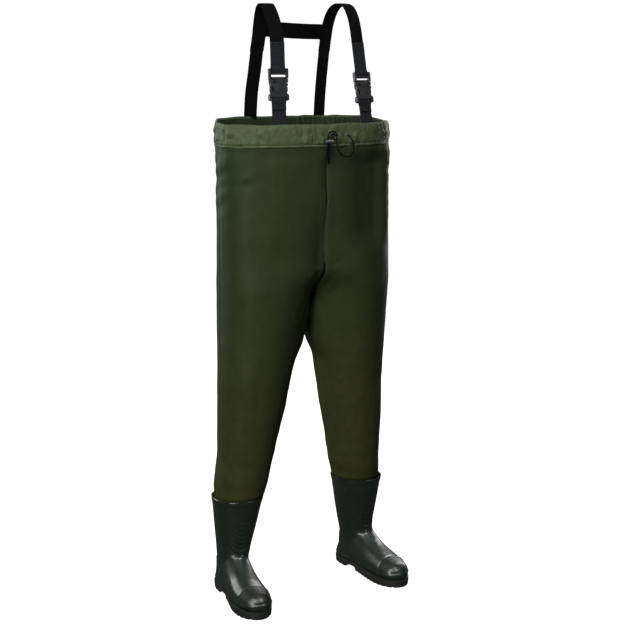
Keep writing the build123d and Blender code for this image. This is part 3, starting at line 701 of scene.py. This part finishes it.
def boot_details(p, normal):
    """How far the moulded skin stands out at each point: ribs, toe cap, counter, rand and cuff."""
    x, y, z = p[:, 0], p[:, 1], p[:, 2]
    cx = np.interp(z, [row[0] for row in reversed(SHAFT)], [row[1] for row in reversed(SHAFT)])
    forward = -normal[:, 1]
    d = np.zeros(len(p))
    # level ribs over the shin and ankle, stronger lower down
    for k in range(7):
        level = 0.136 + 0.0140 * k
        wide = 0.034 - 0.0022 * k
        bow = level + 0.9 * (x - cx) ** 2 / 0.04
        window = bump(forward, 0.25, 0.55) * (1 - bump(np.abs(x - cx), wide * 0.75, wide))
        d += (0.0018 - 0.00012 * k) * np.exp(-((z - bow) / 0.0042) ** 2) * window
    # cuff: a thicker band with a bead at its lower edge
    d += 0.0010 * bump(z, BOOT_TOP - 0.0125, BOOT_TOP - 0.0105)
    # toe cap line and its slightly thicker cap
    cap = -0.158 - 3.2 * (x - 0.004) ** 2
    d += 0.0011 * (1 - bump(y, cap - 0.0015, cap + 0.0015)) * bump(z, 0.03, 0.04)
    d += 0.0009 * np.exp(-((y - cap) / 0.0022) ** 2) * bump(z, 0.03, 0.04)
    # heel counter with a kick ledge
    edge = 0.018 + 0.25 * np.abs(z - 0.06)
    d += 0.0013 * bump(y, edge, edge + 0.003) * (1 - bump(z, 0.098, 0.101))
    d += 0.0030 * np.exp(-((z - 0.088) / 0.0045) ** 2) * bump(y, 0.05, 0.068)
    # rand that covers the joint with the sole
    rand = 0.034 + 0.006 * bump(-y, 0.15, 0.215)
    d += 0.0020 * (1 - bump(z, rand - 0.0012, rand + 0.0008))
    # mould seam down the front and back of the shaft
    d += 0.0005 * np.exp(-((x - cx) / 0.0011) ** 2) * bump(z, 0.225, 0.235)
    d += 0.0004 * np.exp(-((x - cx) / 0.0011) ** 2) * (y > 0) * bump(z, 0.11, 0.12)
    return d


def to_world(points, side):
    """Boot's own points turned out by the toes and stood at the ankle's place."""
    c, s = math.cos(TOE_OUT), math.sin(TOE_OUT)
    out = np.empty_like(points)
    out[:, 0] = side * (ANKLE.x + points[:, 0] * c - points[:, 1] * s)
    out[:, 1] = ANKLE.y + points[:, 0] * s + points[:, 1] * c
    out[:, 2] = points[:, 2]
    return out


def mesh_arrays(mesh):
    """Vertex positions and normals as arrays."""
    count = len(mesh.vertices)
    points, normals = np.empty(count * 3), np.empty(count * 3)
    mesh.vertices.foreach_get("co", points)
    mesh.vertex_normals.foreach_get("vector", normals)
    return points.reshape(-1, 3), normals.reshape(-1, 3)


def boot_skin():
    """The boot's outer skin about its own ankle, with all of its moulded detail."""
    points, faces = boot_body()
    obj = piece("boot_master", points, faces, [], body=None)
    modifier(obj, "REMESH", mode="VOXEL", voxel_size=0.0024)
    modifier(obj, "SMOOTH", factor=0.5, iterations=60)
    apply_modifiers(obj)
    p, normal = mesh_arrays(obj.data)
    p = p + normal * boot_details(p, normal)[:, None]
    over = p[:, 2] > BOOT_TOP
    keep = p[:, 2] <= 0.2975
    p[over, 2] = BOOT_TOP + (p[over, 2] - BOOT_TOP) * 0.05
    mesh = obj.data
    index = np.cumsum(keep) - 1
    faces = [tuple(index[v] for v in f.vertices) for f in mesh.polygons if all(keep[v] for v in f.vertices)]
    bpy.data.objects.remove(obj)
    return p[keep], faces


def boots():
    """Both boot uppers from one skin, with lined walls, and the soles and insoles under them."""
    points, faces = boot_skin()
    for name, side in SIDES:
        turned = faces if side > 0 else [tuple(reversed(f)) for f in faces]
        obj = piece(f"{name}_boot", to_world(points, side), turned, [BOOT],
                    stands_for=[f"{name}_boot_upper"])
        modifier(obj, "SOLIDIFY", thickness=0.0030, offset=-1.0)
        hard_copy(f"{name}_boot_outsole", "sole", SOLE, 0.0020, 3)
        hard_copy(f"{name}_boot_footbed", "felt", FOOTBED, 0.0010)


# ---------------------------------------------------------------- hard parts from the CAD
def hard_copy(node, suffix, material, bevel, segments=2):
    """A CAD node's shape with rounded moulded edges and its own material."""
    source = bpy.data.objects[node]
    mesh = source.data.copy()
    mesh.name = f"{node}_{suffix}"
    bm = bmesh.new()
    bm.from_mesh(mesh)
    bmesh.ops.remove_doubles(bm, verts=bm.verts, dist=1e-6)
    bmesh.ops.dissolve_limit(bm, angle_limit=math.radians(1.5), verts=bm.verts, edges=bm.edges)
    bm.to_mesh(mesh)
    bm.free()
    mesh.materials.clear()
    mesh.materials.append(material)
    obj = bpy.data.objects.new(f"{node}_{suffix}", mesh)
    bpy.context.scene.collection.objects.link(obj)
    modifier(obj, "BEVEL", width=bevel, segments=segments, limit_method="ANGLE",
             angle_limit=math.radians(35))
    modifier(obj, "WEIGHTED_NORMAL", keep_sharp=True)
    mesh.polygons.foreach_set("use_smooth", [True] * len(mesh.polygons))
    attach(obj, NODE_BODY[node])
    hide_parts(node)


def plug_web(name):
    """The thin rear web of a plug, which closes the view between its arms and its centre block."""
    b = Brace(-1 if name == "right" else 1)
    points = []
    for inward in (0.0037, 0.0049):
        for across, up in ((-0.0255, 0.0448), (0.0255, 0.0448), (0.0255, 0.0600), (-0.0255, 0.0600)):
            points.append(b.world(*b.at(inward, up), across))
    piece(f"{name}_plug_web", points, tube_faces(2, 4), [PLASTIC], f"{name}_buckle_male", smooth=False)


def finish_nodes():
    """Rounded, textured versions of the buckles, cord lock and eyelets."""
    for name, _ in SIDES:
        hard_copy(f"{name}_buckle_female", "moulded", PLASTIC, 0.0007)
        hard_copy(f"{name}_buckle_male", "moulded", PLASTIC, 0.0006)
        plug_web(name)
        for hand in ("right", "left"):
            hard_copy(f"{name}_buckle_arm_{hand}", "moulded", PLASTIC, 0.0006)
    hard_copy("cord_lock_barrel", "moulded", PLASTIC, 0.0004)
    hard_copy("cord_lock_button", "moulded", PLASTIC, 0.0004)
    hard_copy("drawcord_eyelets", "enamelled", EYELET, 0.0004)


# ---------------------------------------------------------------- braces
BRACE_X, BRACE_Y, BRACE_LEAN = 0.123, BODY_Y + 0.001, 0.115
FRONT_S, BACK_S = -0.1045, 0.116
DOUBLED_Z, SEAM_Z = 1.550, 1.527
WEB_W, WEB_T = 0.040, 0.0018
BRACES = {
    1: (1.3890, 0.2035,
        ((-0.052, 1.584), (-0.040, 1.618), (-0.020, 1.645), (0.006, 1.655), (0.033, 1.650), (0.055, 1.633),
         (0.073, 1.602), (0.083, 1.567)),
        ((0.0915, SEAM_Z), (0.101, 1.470), (0.110, 1.405), (BACK_S, 1.338))),
    -1: (1.3985, 0.07,
         ((-0.082, 1.576), (-0.065, 1.603), (-0.040, 1.631), (-0.014, 1.649), (0.006, 1.646), (0.021, 1.629),
          (0.034, 1.598), (0.045, 1.563)),
         ((0.061, SEAM_Z), (0.080, 1.472), (0.104, 1.410), (BACK_S, 1.338))),
}


class Brace:
    """One brace's upright plane and its buckle's place in it."""

    def __init__(self, side):
        self.side = side
        base_z, lean, self.arch, self.back = BRACES[side]
        self.along = Vector((-side * BRACE_LEAN, 1, 0)).normalized()
        self.across = self.along.cross(Vector((0, 0, 1)))
        size = math.hypot(lean, 1)
        self.up = (lean / size, 1 / size)
        self.base = (FRONT_S + 0.001 + lean * (base_z - RIM_Z), base_z)
        self.top = (DOUBLED_Z - base_z) / self.up[1]

    def at(self, inward, up):
        """Plane coordinates of a point given from the buckle's lower end."""
        return (self.base[0] + self.up[1] * inward + self.up[0] * up,
                self.base[1] - self.up[0] * inward + self.up[1] * up)

    def world(self, s, z, w=0.0):
        """A point of the plane, w to the wearer's left of it."""
        p = Vector((self.side * BRACE_X, BRACE_Y, 0)) + self.along * s + self.across * w
        return np.array((p.x, p.y, z))


def smooth_line(points, step=0.0025):
    """Evenly spaced points on a smooth curve through the given ones."""
    pts = np.array([points[0], *points, points[-1]], dtype=float)
    pts[0] = 2 * pts[1] - pts[2]
    pts[-1] = 2 * pts[-2] - pts[-3]
    out = []
    for a, b, c, d in zip(pts, pts[1:], pts[2:], pts[3:]):
        for t in np.linspace(0, 1, 24, endpoint=False):
            out.append(0.5 * ((2 * b) + (c - a) * t + (2 * a - 5 * b + 4 * c - d) * t ** 2
                              + (3 * b - a - 3 * c + d) * t ** 3))
    out.append(pts[-2])
    out = np.array(out)
    length = np.concatenate(([0], np.cumsum(np.linalg.norm(np.diff(out, axis=0), axis=1))))
    even = np.linspace(0, length[-1], max(3, int(length[-1] / step)))
    return np.stack([np.interp(even, length, out[:, k]) for k in range(out.shape[1])], axis=-1), even


def web_strap(name, brace, line, material, node, width=WEB_W, thickness=WEB_T, crown=0.0006, seed=0.0,
              body=ROOT):
    """Flat webbing along a line in the brace's plane, with rounded selvedges and a slight crown."""
    path, even = smooth_line(line)
    tangent = np.gradient(path, axis=0)
    tangent /= np.linalg.norm(tangent, axis=1, keepdims=True)
    across_places = [-1, -0.985, -0.94, -0.8, -0.5, -0.2, 0.2, 0.5, 0.8, 0.94, 0.985, 1]
    half = [0.18, 0.62, 0.95, 1, 1, 1, 1, 1, 1, 0.95, 0.62, 0.18]
    ring = [(k, 1) for k in range(12)] + [(k, -1) for k in range(11, -1, -1)]
    points, uv = [], []
    for i, (s, z) in enumerate(path):
        ns, nz = -tangent[i][1], tangent[i][0]
        wobble = 0.0004 * noise.noise((even[i] * 22, seed, 0.3))
        for k, face in ring:
            u = across_places[k]
            cup = crown * (1 - u * u) + wobble * u + 0.0003 * noise.noise((even[i] * 40, u * 2, seed + 4))
            out = face * half[k] * thickness / 2 + cup
            points.append(brace.world(s + ns * out, z + nz * out, u * width / 2))
            uv.append((u * width / 2, even[i]))
    obj = piece(name, points, tube_faces(len(path), len(ring)), [material], body, stands_for=[node])
    set_uv(obj, uv)
    return obj


def box_stitches(brace, centre, up, normal_sign, height, width=0.032, lift=0.0013):
    """Runs for a sewn box with a cross in it, on the face of a strap."""
    s0, z0 = centre
    ns, nz = -up[1] * normal_sign, up[0] * normal_sign

    def spot(w, v):
        return brace.world(s0 + up[0] * v + ns * lift, z0 + up[1] * v + nz * lift, w)

    corners = [(w * width / 2, v * height / 2) for w, v in ((-1, -1), (1, -1), (1, 1), (-1, 1))]
    lines = list(zip(corners, corners[1:] + corners[:1]))
    lines += [(corners[0], corners[2]), (corners[1], corners[3])]
    normal = brace.world(ns, nz) - brace.world(0, 0)
    normal /= np.linalg.norm(normal)
    runs = []
    for (w0, v0), (w1, v1) in lines:
        count = int(math.hypot(w1 - w0, v1 - v0) / 0.0034)
        direction = spot(w1, v1) - spot(w0, v0)
        direction /= np.linalg.norm(direction)
        for k in range(count):
            t = (k + 0.5) / count
            runs.append((spot(w0 + (w1 - w0) * t, v0 + (v1 - v0) * t), direction, normal))
    return runs


def bar_wrap(brace, low, high, doubled_to, gap=0.0003, bar=0.00225):
    """Centre line of webbing that comes down, goes round a bar and doubles back on itself."""
    wide = bar + gap + WEB_T / 2
    upward = 1 if doubled_to > high else -1
    root, tip = (high, low - gap - WEB_T / 2) if upward > 0 else (low, high + gap + WEB_T / 2)
    layer = WEB_T / 2 + 0.0001
    line = [(-layer, doubled_to), (-layer, (doubled_to + root) / 2), (-layer, root + upward * 0.009)]
    line += [(-wide, root), (-wide, (low + high) / 2), (-wide * 0.8, tip + upward * 0.0006), (0, tip)]
    line += [(wide * 0.8, tip + upward * 0.0006), (wide, (low + high) / 2), (wide, root)]
    line += [(layer, root + upward * 0.009), (layer, (doubled_to + root) / 2), (layer, doubled_to)]
    return [brace.at(n, u) for n, u in line]


def braces():
    """Webbing and stitching of both braces."""
    for name, side in SIDES:
        b = Brace(side)
        # front: lower strap from inside the hem, round the buckle's end bar and back on itself
        wrap = bar_wrap(b, 0.0, 0.0096, -0.024)
        low_line = wrap + [b.at(0.0011, -0.030), (FRONT_S + 0.0003, RIM_Z)]
        low_line += [(FRONT_S, 1.318), (FRONT_S, 1.297)]
        web_strap(f"{name}_lower_webbing", b, low_line, FRONT_WEBBING, f"{name}_lower_strap", crown=0.0001,
                  seed=side)
        # adjuster: doubled webbing round the top bar
        wrap = bar_wrap(b, 0.0732, 0.0835, b.top)
        strap = web_strap(f"{name}_adjuster_webbing", b, wrap, FRONT_WEBBING, f"{name}_adjuster_strap",
                          crown=0.0001, seed=side + 2, body=None)
        start, end = b.world(*b.at(0, b.top - 0.006)), b.world(*b.at(0, 0.090))
        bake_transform(strap)
        # over the shoulder to the back seam, then the stretch webbing down into the back hem
        arch = [b.at(0.001, b.top - 0.018), b.at(0.001, b.top - 0.002), *b.arch, b.back[0]]
        web_strap(f"{name}_shoulder_webbing", b, arch, WEBBING, f"{name}_shoulder_strap", seed=side + 4)
        back = [(b.back[0][0] + 0.0004, b.back[0][1] + 0.010), *b.back]
        web_strap(f"{name}_back_webbing", b, back, WEBBING, f"{name}_back_strap", width=0.038,
                  thickness=0.0022, seed=side + 6)
        runs = box_stitches(b, b.at(-0.0010, b.top - 0.014), b.up, 1, 0.018)
        runs += box_stitches(b, b.at(0.0022, -0.014), b.up, -1, 0.014)
        runs += box_stitches(b, b.at(-0.0022, -0.014), b.up, 1, 0.014)
        stitch_mesh(f"{name}_strap_stitching", runs, THREAD, width=0.0004)


CROSS_Z = 1.581


def cross_strap():
    """The short webbing that joins the two braces behind the shoulders."""
    ends = []
    for _, side in SIDES:
        rows = BRACES[side][2] + BRACES[side][3][:1]
        spans = [(a, b) for a, b in zip(rows, rows[1:]) if a[1] >= CROSS_Z >= b[1] and a[0] > 0]
        (s0, z0), (s1, z1) = spans[0]
        share = (z0 - CROSS_Z) / (z0 - z1)
        height = CROSS_Z + (0.005 if side < 0 else -0.001)
        at = Brace(side).world(s0 + share * (s1 - s0), height, -side * (WEB_W / 2 - 0.009))
        slope = (s1 - s0) / (z0 - z1)
        across = np.array((0, 1, slope)) / math.hypot(1, slope)
        upward = np.array((0, -slope, 1)) / math.hypot(1, slope)
        ends.append((at + across * 0.0026, across, upward))
    points, uv = [], []
    ring = [(-1, 0.3), (-0.96, 0.9), (-0.8, 1), (-0.3, 1), (0.3, 1), (0.8, 1), (0.96, 0.9), (1, 0.3)]
    ring = [(v, t) for v, t in ring] + [(v, -t) for v, t in reversed(ring)]
    for k in range(61):
        t = k / 60
        middle = ends[0][0] * (1 - t) + ends[1][0] * t
        across = ends[0][1] * (1 - t) + ends[1][1] * t
        upward = ends[0][2] * (1 - t) + ends[1][2] * t
        sag = math.sin(math.pi * t)
        middle = middle - upward * 0.0015 * sag + across * 0.0008 * noise.noise((t * 6, 0.4, 0))
        for v, thick in ring:
            points.append(middle + upward * v * 0.0215 + across * thick * 0.0009)
            uv.append((v * 0.019, t * 0.22))
    obj = piece("cross_webbing", points, tube_faces(61, len(ring)), [WEBBING], stands_for=["cross_strap"])
    set_uv(obj, uv)
    runs = []
    for (middle, across, upward), direction in zip(ends, (1, -1)):
        corners = [(0.001, -0.015), (0.006, -0.015), (0.006, 0.015), (0.001, 0.015)]
        for (x0, v0), (x1, v1) in zip(corners, corners[1:] + corners[:1]):
            start = middle + np.array((direction, 0, 0)) * x0 + upward * v0 + across * 0.0011
            stop = middle + np.array((direction, 0, 0)) * x1 + upward * v1 + across * 0.0011
            count = max(1, int(np.linalg.norm(stop - start) / 0.0034))
            line = (stop - start) / np.linalg.norm(stop - start)
            runs += [(start + (stop - start) * (k + 0.5) / count, line, across) for k in range(count)]
    stitch_mesh("cross_stitching", runs, THREAD, width=0.0004)


def hem_patches():
    """Webbing sewn flat inside the hem behind each front brace."""
    heights = (0.011, 0.012, 0.057, 0.058)
    p, even = hem_points(list(zip((-0.0084, -0.0101, -0.0101, -0.0084), heights)))
    for name, side in SIDES:
        columns = [j for j in range(p.shape[1]) if 0.114 < side * p[0, j, 0] < 0.158 and p[0, j, 1] < BODY_Y]
        points = p[:, columns].reshape(-1, 3)
        count = len(columns)
        faces = grid_faces(4, count, wrap_rows=True)
        faces.append(tuple(k * count for k in range(4)))
        faces.append(tuple(k * count + count - 1 for k in range(3, -1, -1)))
        obj = piece(f"{name}_hem_patch", points, faces, [WEBBING], smooth=False,
                    stands_for=[f"{name}_front_hem_patch"])
        set_uv(obj, [(even[j], HEM_BOTTOM + h) for h in heights for j in columns])


# ---------------------------------------------------------------- drawcord
CORD_Y = -0.1266
FRONT_Y = BODY_Y - RIM_B
LOCK_X, KNOT_Z = -0.008, 1.246
CORD_D = 0.0035
STRAND_RIGHT = (
    (0.022, FRONT_Y + 0.003, 1.305), (0.022, FRONT_Y - 0.0085, 1.3053), (0.0155, CORD_Y - 0.002, 1.3123),
    (0.0065, CORD_Y - 0.0015, 1.318), (-0.0035, CORD_Y - 0.0005, 1.3173), (-0.0101, CORD_Y, 1.310),
    (-0.0102, CORD_Y, 1.290), (-0.0101, CORD_Y, 1.269), (-0.0102, CORD_Y, KNOT_Z + 0.003),
)
STRAND_LEFT = (
    (0.061, FRONT_Y + 0.004, 1.305), (0.0610, FRONT_Y - 0.008, 1.304), (0.0635, CORD_Y + 0.0005, 1.296),
    (0.068, CORD_Y - 0.001, 1.284), (0.0705, CORD_Y - 0.0005, 1.269), (0.065, CORD_Y + 0.001, 1.255),
    (0.056, CORD_Y + 0.0015, 1.249), (0.040, CORD_Y + 0.001, 1.250), (0.028, CORD_Y + 0.0005, 1.258),
    (0.0195, CORD_Y, 1.271), (0.0172, CORD_Y, 1.287), (0.0175, CORD_Y, 1.3039), (0.0106, CORD_Y, 1.3107),
    (0.001, CORD_Y, 1.3107), (-0.0059, CORD_Y, 1.3039), (-0.0058, CORD_Y, 1.287), (-0.0059, CORD_Y, 1.268),
    (-0.0058, CORD_Y, KNOT_Z + 0.003),
)


def cord_curve(name, route, node):
    """A free strand of the drawcord along its route."""
    data = bpy.data.curves.new(name, "CURVE")
    data.dimensions = "3D"
    data.resolution_u = 10
    data.bevel_depth = CORD_D / 2
    data.bevel_resolution = 4
    spline = data.splines.new("NURBS")
    spline.points.add(len(route) - 1)
    for point, at in zip(spline.points, route):
        point.co = (*at, 1)
    spline.order_u = 3
    spline.use_endpoint_u = True
    data.materials.append(CORD)
    obj = bpy.data.objects.new(name, data)
    bpy.context.scene.collection.objects.link(obj)
    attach(obj, ROOT)
    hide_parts(node)


def tube_piece(name, path, radius, material, sides=12, body=ROOT, stands_for=()):
    """A round tube through the given points."""
    path = np.array(path, dtype=float)
    tangent = np.gradient(path, axis=0)
    tangent /= np.linalg.norm(tangent, axis=1, keepdims=True)
    normal = np.cross(tangent[0], (0.3, 0.5, 0.8))
    points = []
    for q, t in zip(path, tangent):
        normal = normal - t * (normal @ t)
        normal /= np.linalg.norm(normal)
        other = np.cross(t, normal)
        for k in range(sides):
            a = 2 * math.pi * k / sides
            points.append(q + (normal * math.cos(a) + other * math.sin(a)) * radius)
    faces = tube_faces(len(path), sides)
    return piece(name, points, faces, [material], body, stands_for=stands_for)


def knot():
    """The two strands tied in one overhand knot, with two short ends."""
    parts = []
    for index, (x, tail, length) in enumerate(((-0.0022, -0.0018, 0.0165), (0.0022, 0.0022, 0.0135))):
        route = [(x, 0, 0.0030), (x * 0.9, 0, 0.0005)]
        for k in range(17):
            a = math.radians(-90 + 26 * k)
            route.append((0.0034 * math.cos(a), -0.0034 * math.sin(a) * (1 if index else -1),
                          0.0022 - 0.0052 * k / 16 + (0.0008 if index else -0.0008)))
        route += [(tail * 0.6, 0, -0.0052), (tail, 0.0004, -0.009), (tail * 1.25, 0, -length)]
        line, _ = smooth_line(route, 0.0007)
        path = line + np.array((LOCK_X, CORD_Y, KNOT_Z))
        stands_for = () if index else ("drawcord_knot",)
        parts.append(tube_piece(f"knot_strand_{index + 1}", path, CORD_D / 2, CORD, stands_for=stands_for))
    return parts


def spring():
    """The cord lock's small coil spring."""
    low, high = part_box("cord_lock_spring")
    middle_y, middle_z = (low[1] + high[1]) / 2, (low[2] + high[2]) / 2
    wire, coil, turns = 0.00025, 0.0038, 3.5
    t = np.linspace(0, 1, 180)
    a = 2 * math.pi * turns * t
    x = low[0] + wire + (high[0] - low[0] - 2 * wire) * t
    path = np.stack((x, middle_y + coil * np.cos(a), middle_z + coil * np.sin(a)), axis=-1)
    obj = tube_piece("cord_lock_coil", path, wire, STEEL, sides=8, body="cord_lock",
                     stands_for=["cord_lock_spring"])
    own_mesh(obj)


def drawcord():
    """Both free strands, their knot, the cord lock's spring and the hidden run in the casing."""
    lock = [f"cord_lock_{part}_moulded" for part in ("barrel", "button")]
    with_pieces = [bpy.data.objects[name] for name in lock] + knot()
    spring()
    cord_curve("strand_right", STRAND_RIGHT, "drawcord_strand_right")
    cord_curve("strand_left", STRAND_LEFT, "drawcord_strand_left")
    low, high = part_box("drawcord_in_casing")
    x, y, nx, ny, _ = rim_frame(400)
    z = (low[2] + high[2]) / 2
    inside = 0.0033
    ring = settled(np.stack((x - nx * inside, y - ny * inside, np.full_like(x, z)), axis=-1)).tolist()
    right, left = EYELET_X
    hidden = [q for q in ring if not (right < q[0] < left and q[1] < BODY_Y)]
    first = next(k for k, q in enumerate(hidden) if q[0] >= left and q[1] < BODY_Y)
    tube_piece("casing_cord", hidden[first:] + hidden[:first], CORD_D / 2, CORD, sides=8,
               stands_for=["drawcord_in_casing"])


def cuff_seals():
    """The film bands that seal each leg's end inside the top of its boot."""
    for name, side in SIDES:
        low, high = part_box(f"{name}_cuff_seal")
        points = []
        rows = np.linspace(low[2] + 0.0005, high[2] - 0.0005, 6)
        for z in rows:
            x, y, _ = half_outline(z, 96)
            ring = np.stack((x, y, np.full_like(x, z)), axis=-1)[:-1] * np.array((side, 1, 1))
            outward = ring - ring.mean(axis=0)
            outward[:, 2] = 0
            outward /= np.linalg.norm(outward, axis=1, keepdims=True)
            points += list(ring + outward * 0.0012)
        obj = piece(f"{name}_cuff_seal_film", points, grid_faces(len(rows), 95, wrap_columns=True), [TAPE],
                    stands_for=[f"{name}_cuff_seal"])
        modifier(obj, "SOLIDIFY", thickness=0.0006, offset=0)


# ---------------------------------------------------------------- camera, light and floor
def camera():
    """The view from the wearer's right of the front, a little above the chest."""
    data = bpy.data.cameras.new("camera")
    data.lens = 75.98
    data.sensor_width = 36
    data.clip_end = 50
    obj = bpy.data.objects.new("camera", data)
    obj.location = (-1.7924, -3.1571, 1.502)
    obj.rotation_euler = (math.radians(90 - 10.808), 0, math.radians(-29.786))
    bpy.context.scene.collection.objects.link(obj)
    bpy.context.scene.camera = obj


def area_light(name, location, target, size, power, gloss_only=False):
    """A soft rectangular light aimed at a point."""
    data = bpy.data.lights.new(name, "AREA")
    data.shape = "RECTANGLE"
    data.size, data.size_y = size
    data.energy = power
    obj = bpy.data.objects.new(name, data)
    obj.location = location
    direction = Vector(target) - Vector(location)
    obj.rotation_euler = direction.to_track_quat("-Z", "Y").to_euler()
    obj.visible_diffuse = not gloss_only
    bpy.context.scene.collection.objects.link(obj)


def backdrop(name, points, faces, glow):
    """A pale surface behind the object that only the camera sees, so it adds no light of its own."""
    paint = bpy.data.materials.new(name)
    paint.use_nodes = True
    principled = paint.node_tree.nodes["Principled BSDF"]
    principled.inputs["Base Color"].default_value = (0.5, 0.5, 0.5, 1)
    principled.inputs["Roughness"].default_value = 0.8
    principled.inputs["Specular IOR Level"].default_value = 0.0
    principled.inputs["Emission Color"].default_value = (1, 1, 1, 1)
    principled.inputs["Emission Strength"].default_value = glow
    obj = piece(name, points, faces, [paint], body=None)
    obj.visible_diffuse = False
    obj.visible_glossy = False
    obj.visible_transmission = False
    obj.visible_shadow = False


def studio():
    """A white sweep under soft light from the upper left of the view, with a weaker fill."""
    world = bpy.data.worlds.new("studio")
    world.use_nodes = True
    background = world.node_tree.nodes["Background"]
    background.inputs["Color"].default_value = (1, 1, 1, 1)
    background.inputs["Strength"].default_value = 0.055
    bpy.context.scene.world = world
    bpy.context.scene.view_settings.view_transform = "Standard"
    area_light("key", (-2.1, -1.7, 1.5), (0, 0, 0.8), (0.7, 2.8), 62)
    area_light("top", (-0.9, -1.6, 3.1), (0, 0, 1.2), (1.4, 1.0), 40)
    area_light("right", (2.7, 1.1, 1.7), (0, 0, 0.8), (0.6, 2.6), 34)
    area_light("back_left", (-1.7, 2.7, 1.9), (0, 0, 0.8), (1.2, 2.4), 62)
    area_light("back_right", (1.9, 2.6, 1.9), (0, 0, 0.8), (1.2, 2.4), 48)
    area_light("reflector", (1.5, -2.7, 0.9), (0, 0, 1.3), (0.6, 0.9), 8, gloss_only=True)
    area_light("strip", (0.9, -1.5, 2.9), (0.1, 0, 0.1), (0.35, 0.9), 30, gloss_only=True)
    size, below = 9.0, -0.0005
    corners = [(x * size, y * size, below) for x, y in ((-1, -1), (1, -1), (1, 1), (-1, 1))]
    backdrop("floor", corners, [(0, 1, 2, 3)], 0.97)
    rings, dome = [], 8
    for k in range(13):
        height = math.radians(-8 + 8.16 * k)
        out, up = dome * math.cos(height), dome * math.sin(height)
        turns = np.linspace(0, 2 * math.pi, 48, endpoint=False)
        rings.append([(out * math.cos(a), out * math.sin(a), up) for a in turns])
    points, faces = closed_tube(rings)
    backdrop("sky", points, faces, 1.0)


# ---------------------------------------------------------------- everything
camera()
studio()
finish_nodes()
drawcord()
cloth_halves = garment_cloth()
seam_tapes(cloth_halves)
chest_hem()
hem_stitching()
hem_patches()
boots()
cuff_seals()
braces()
cross_strap()
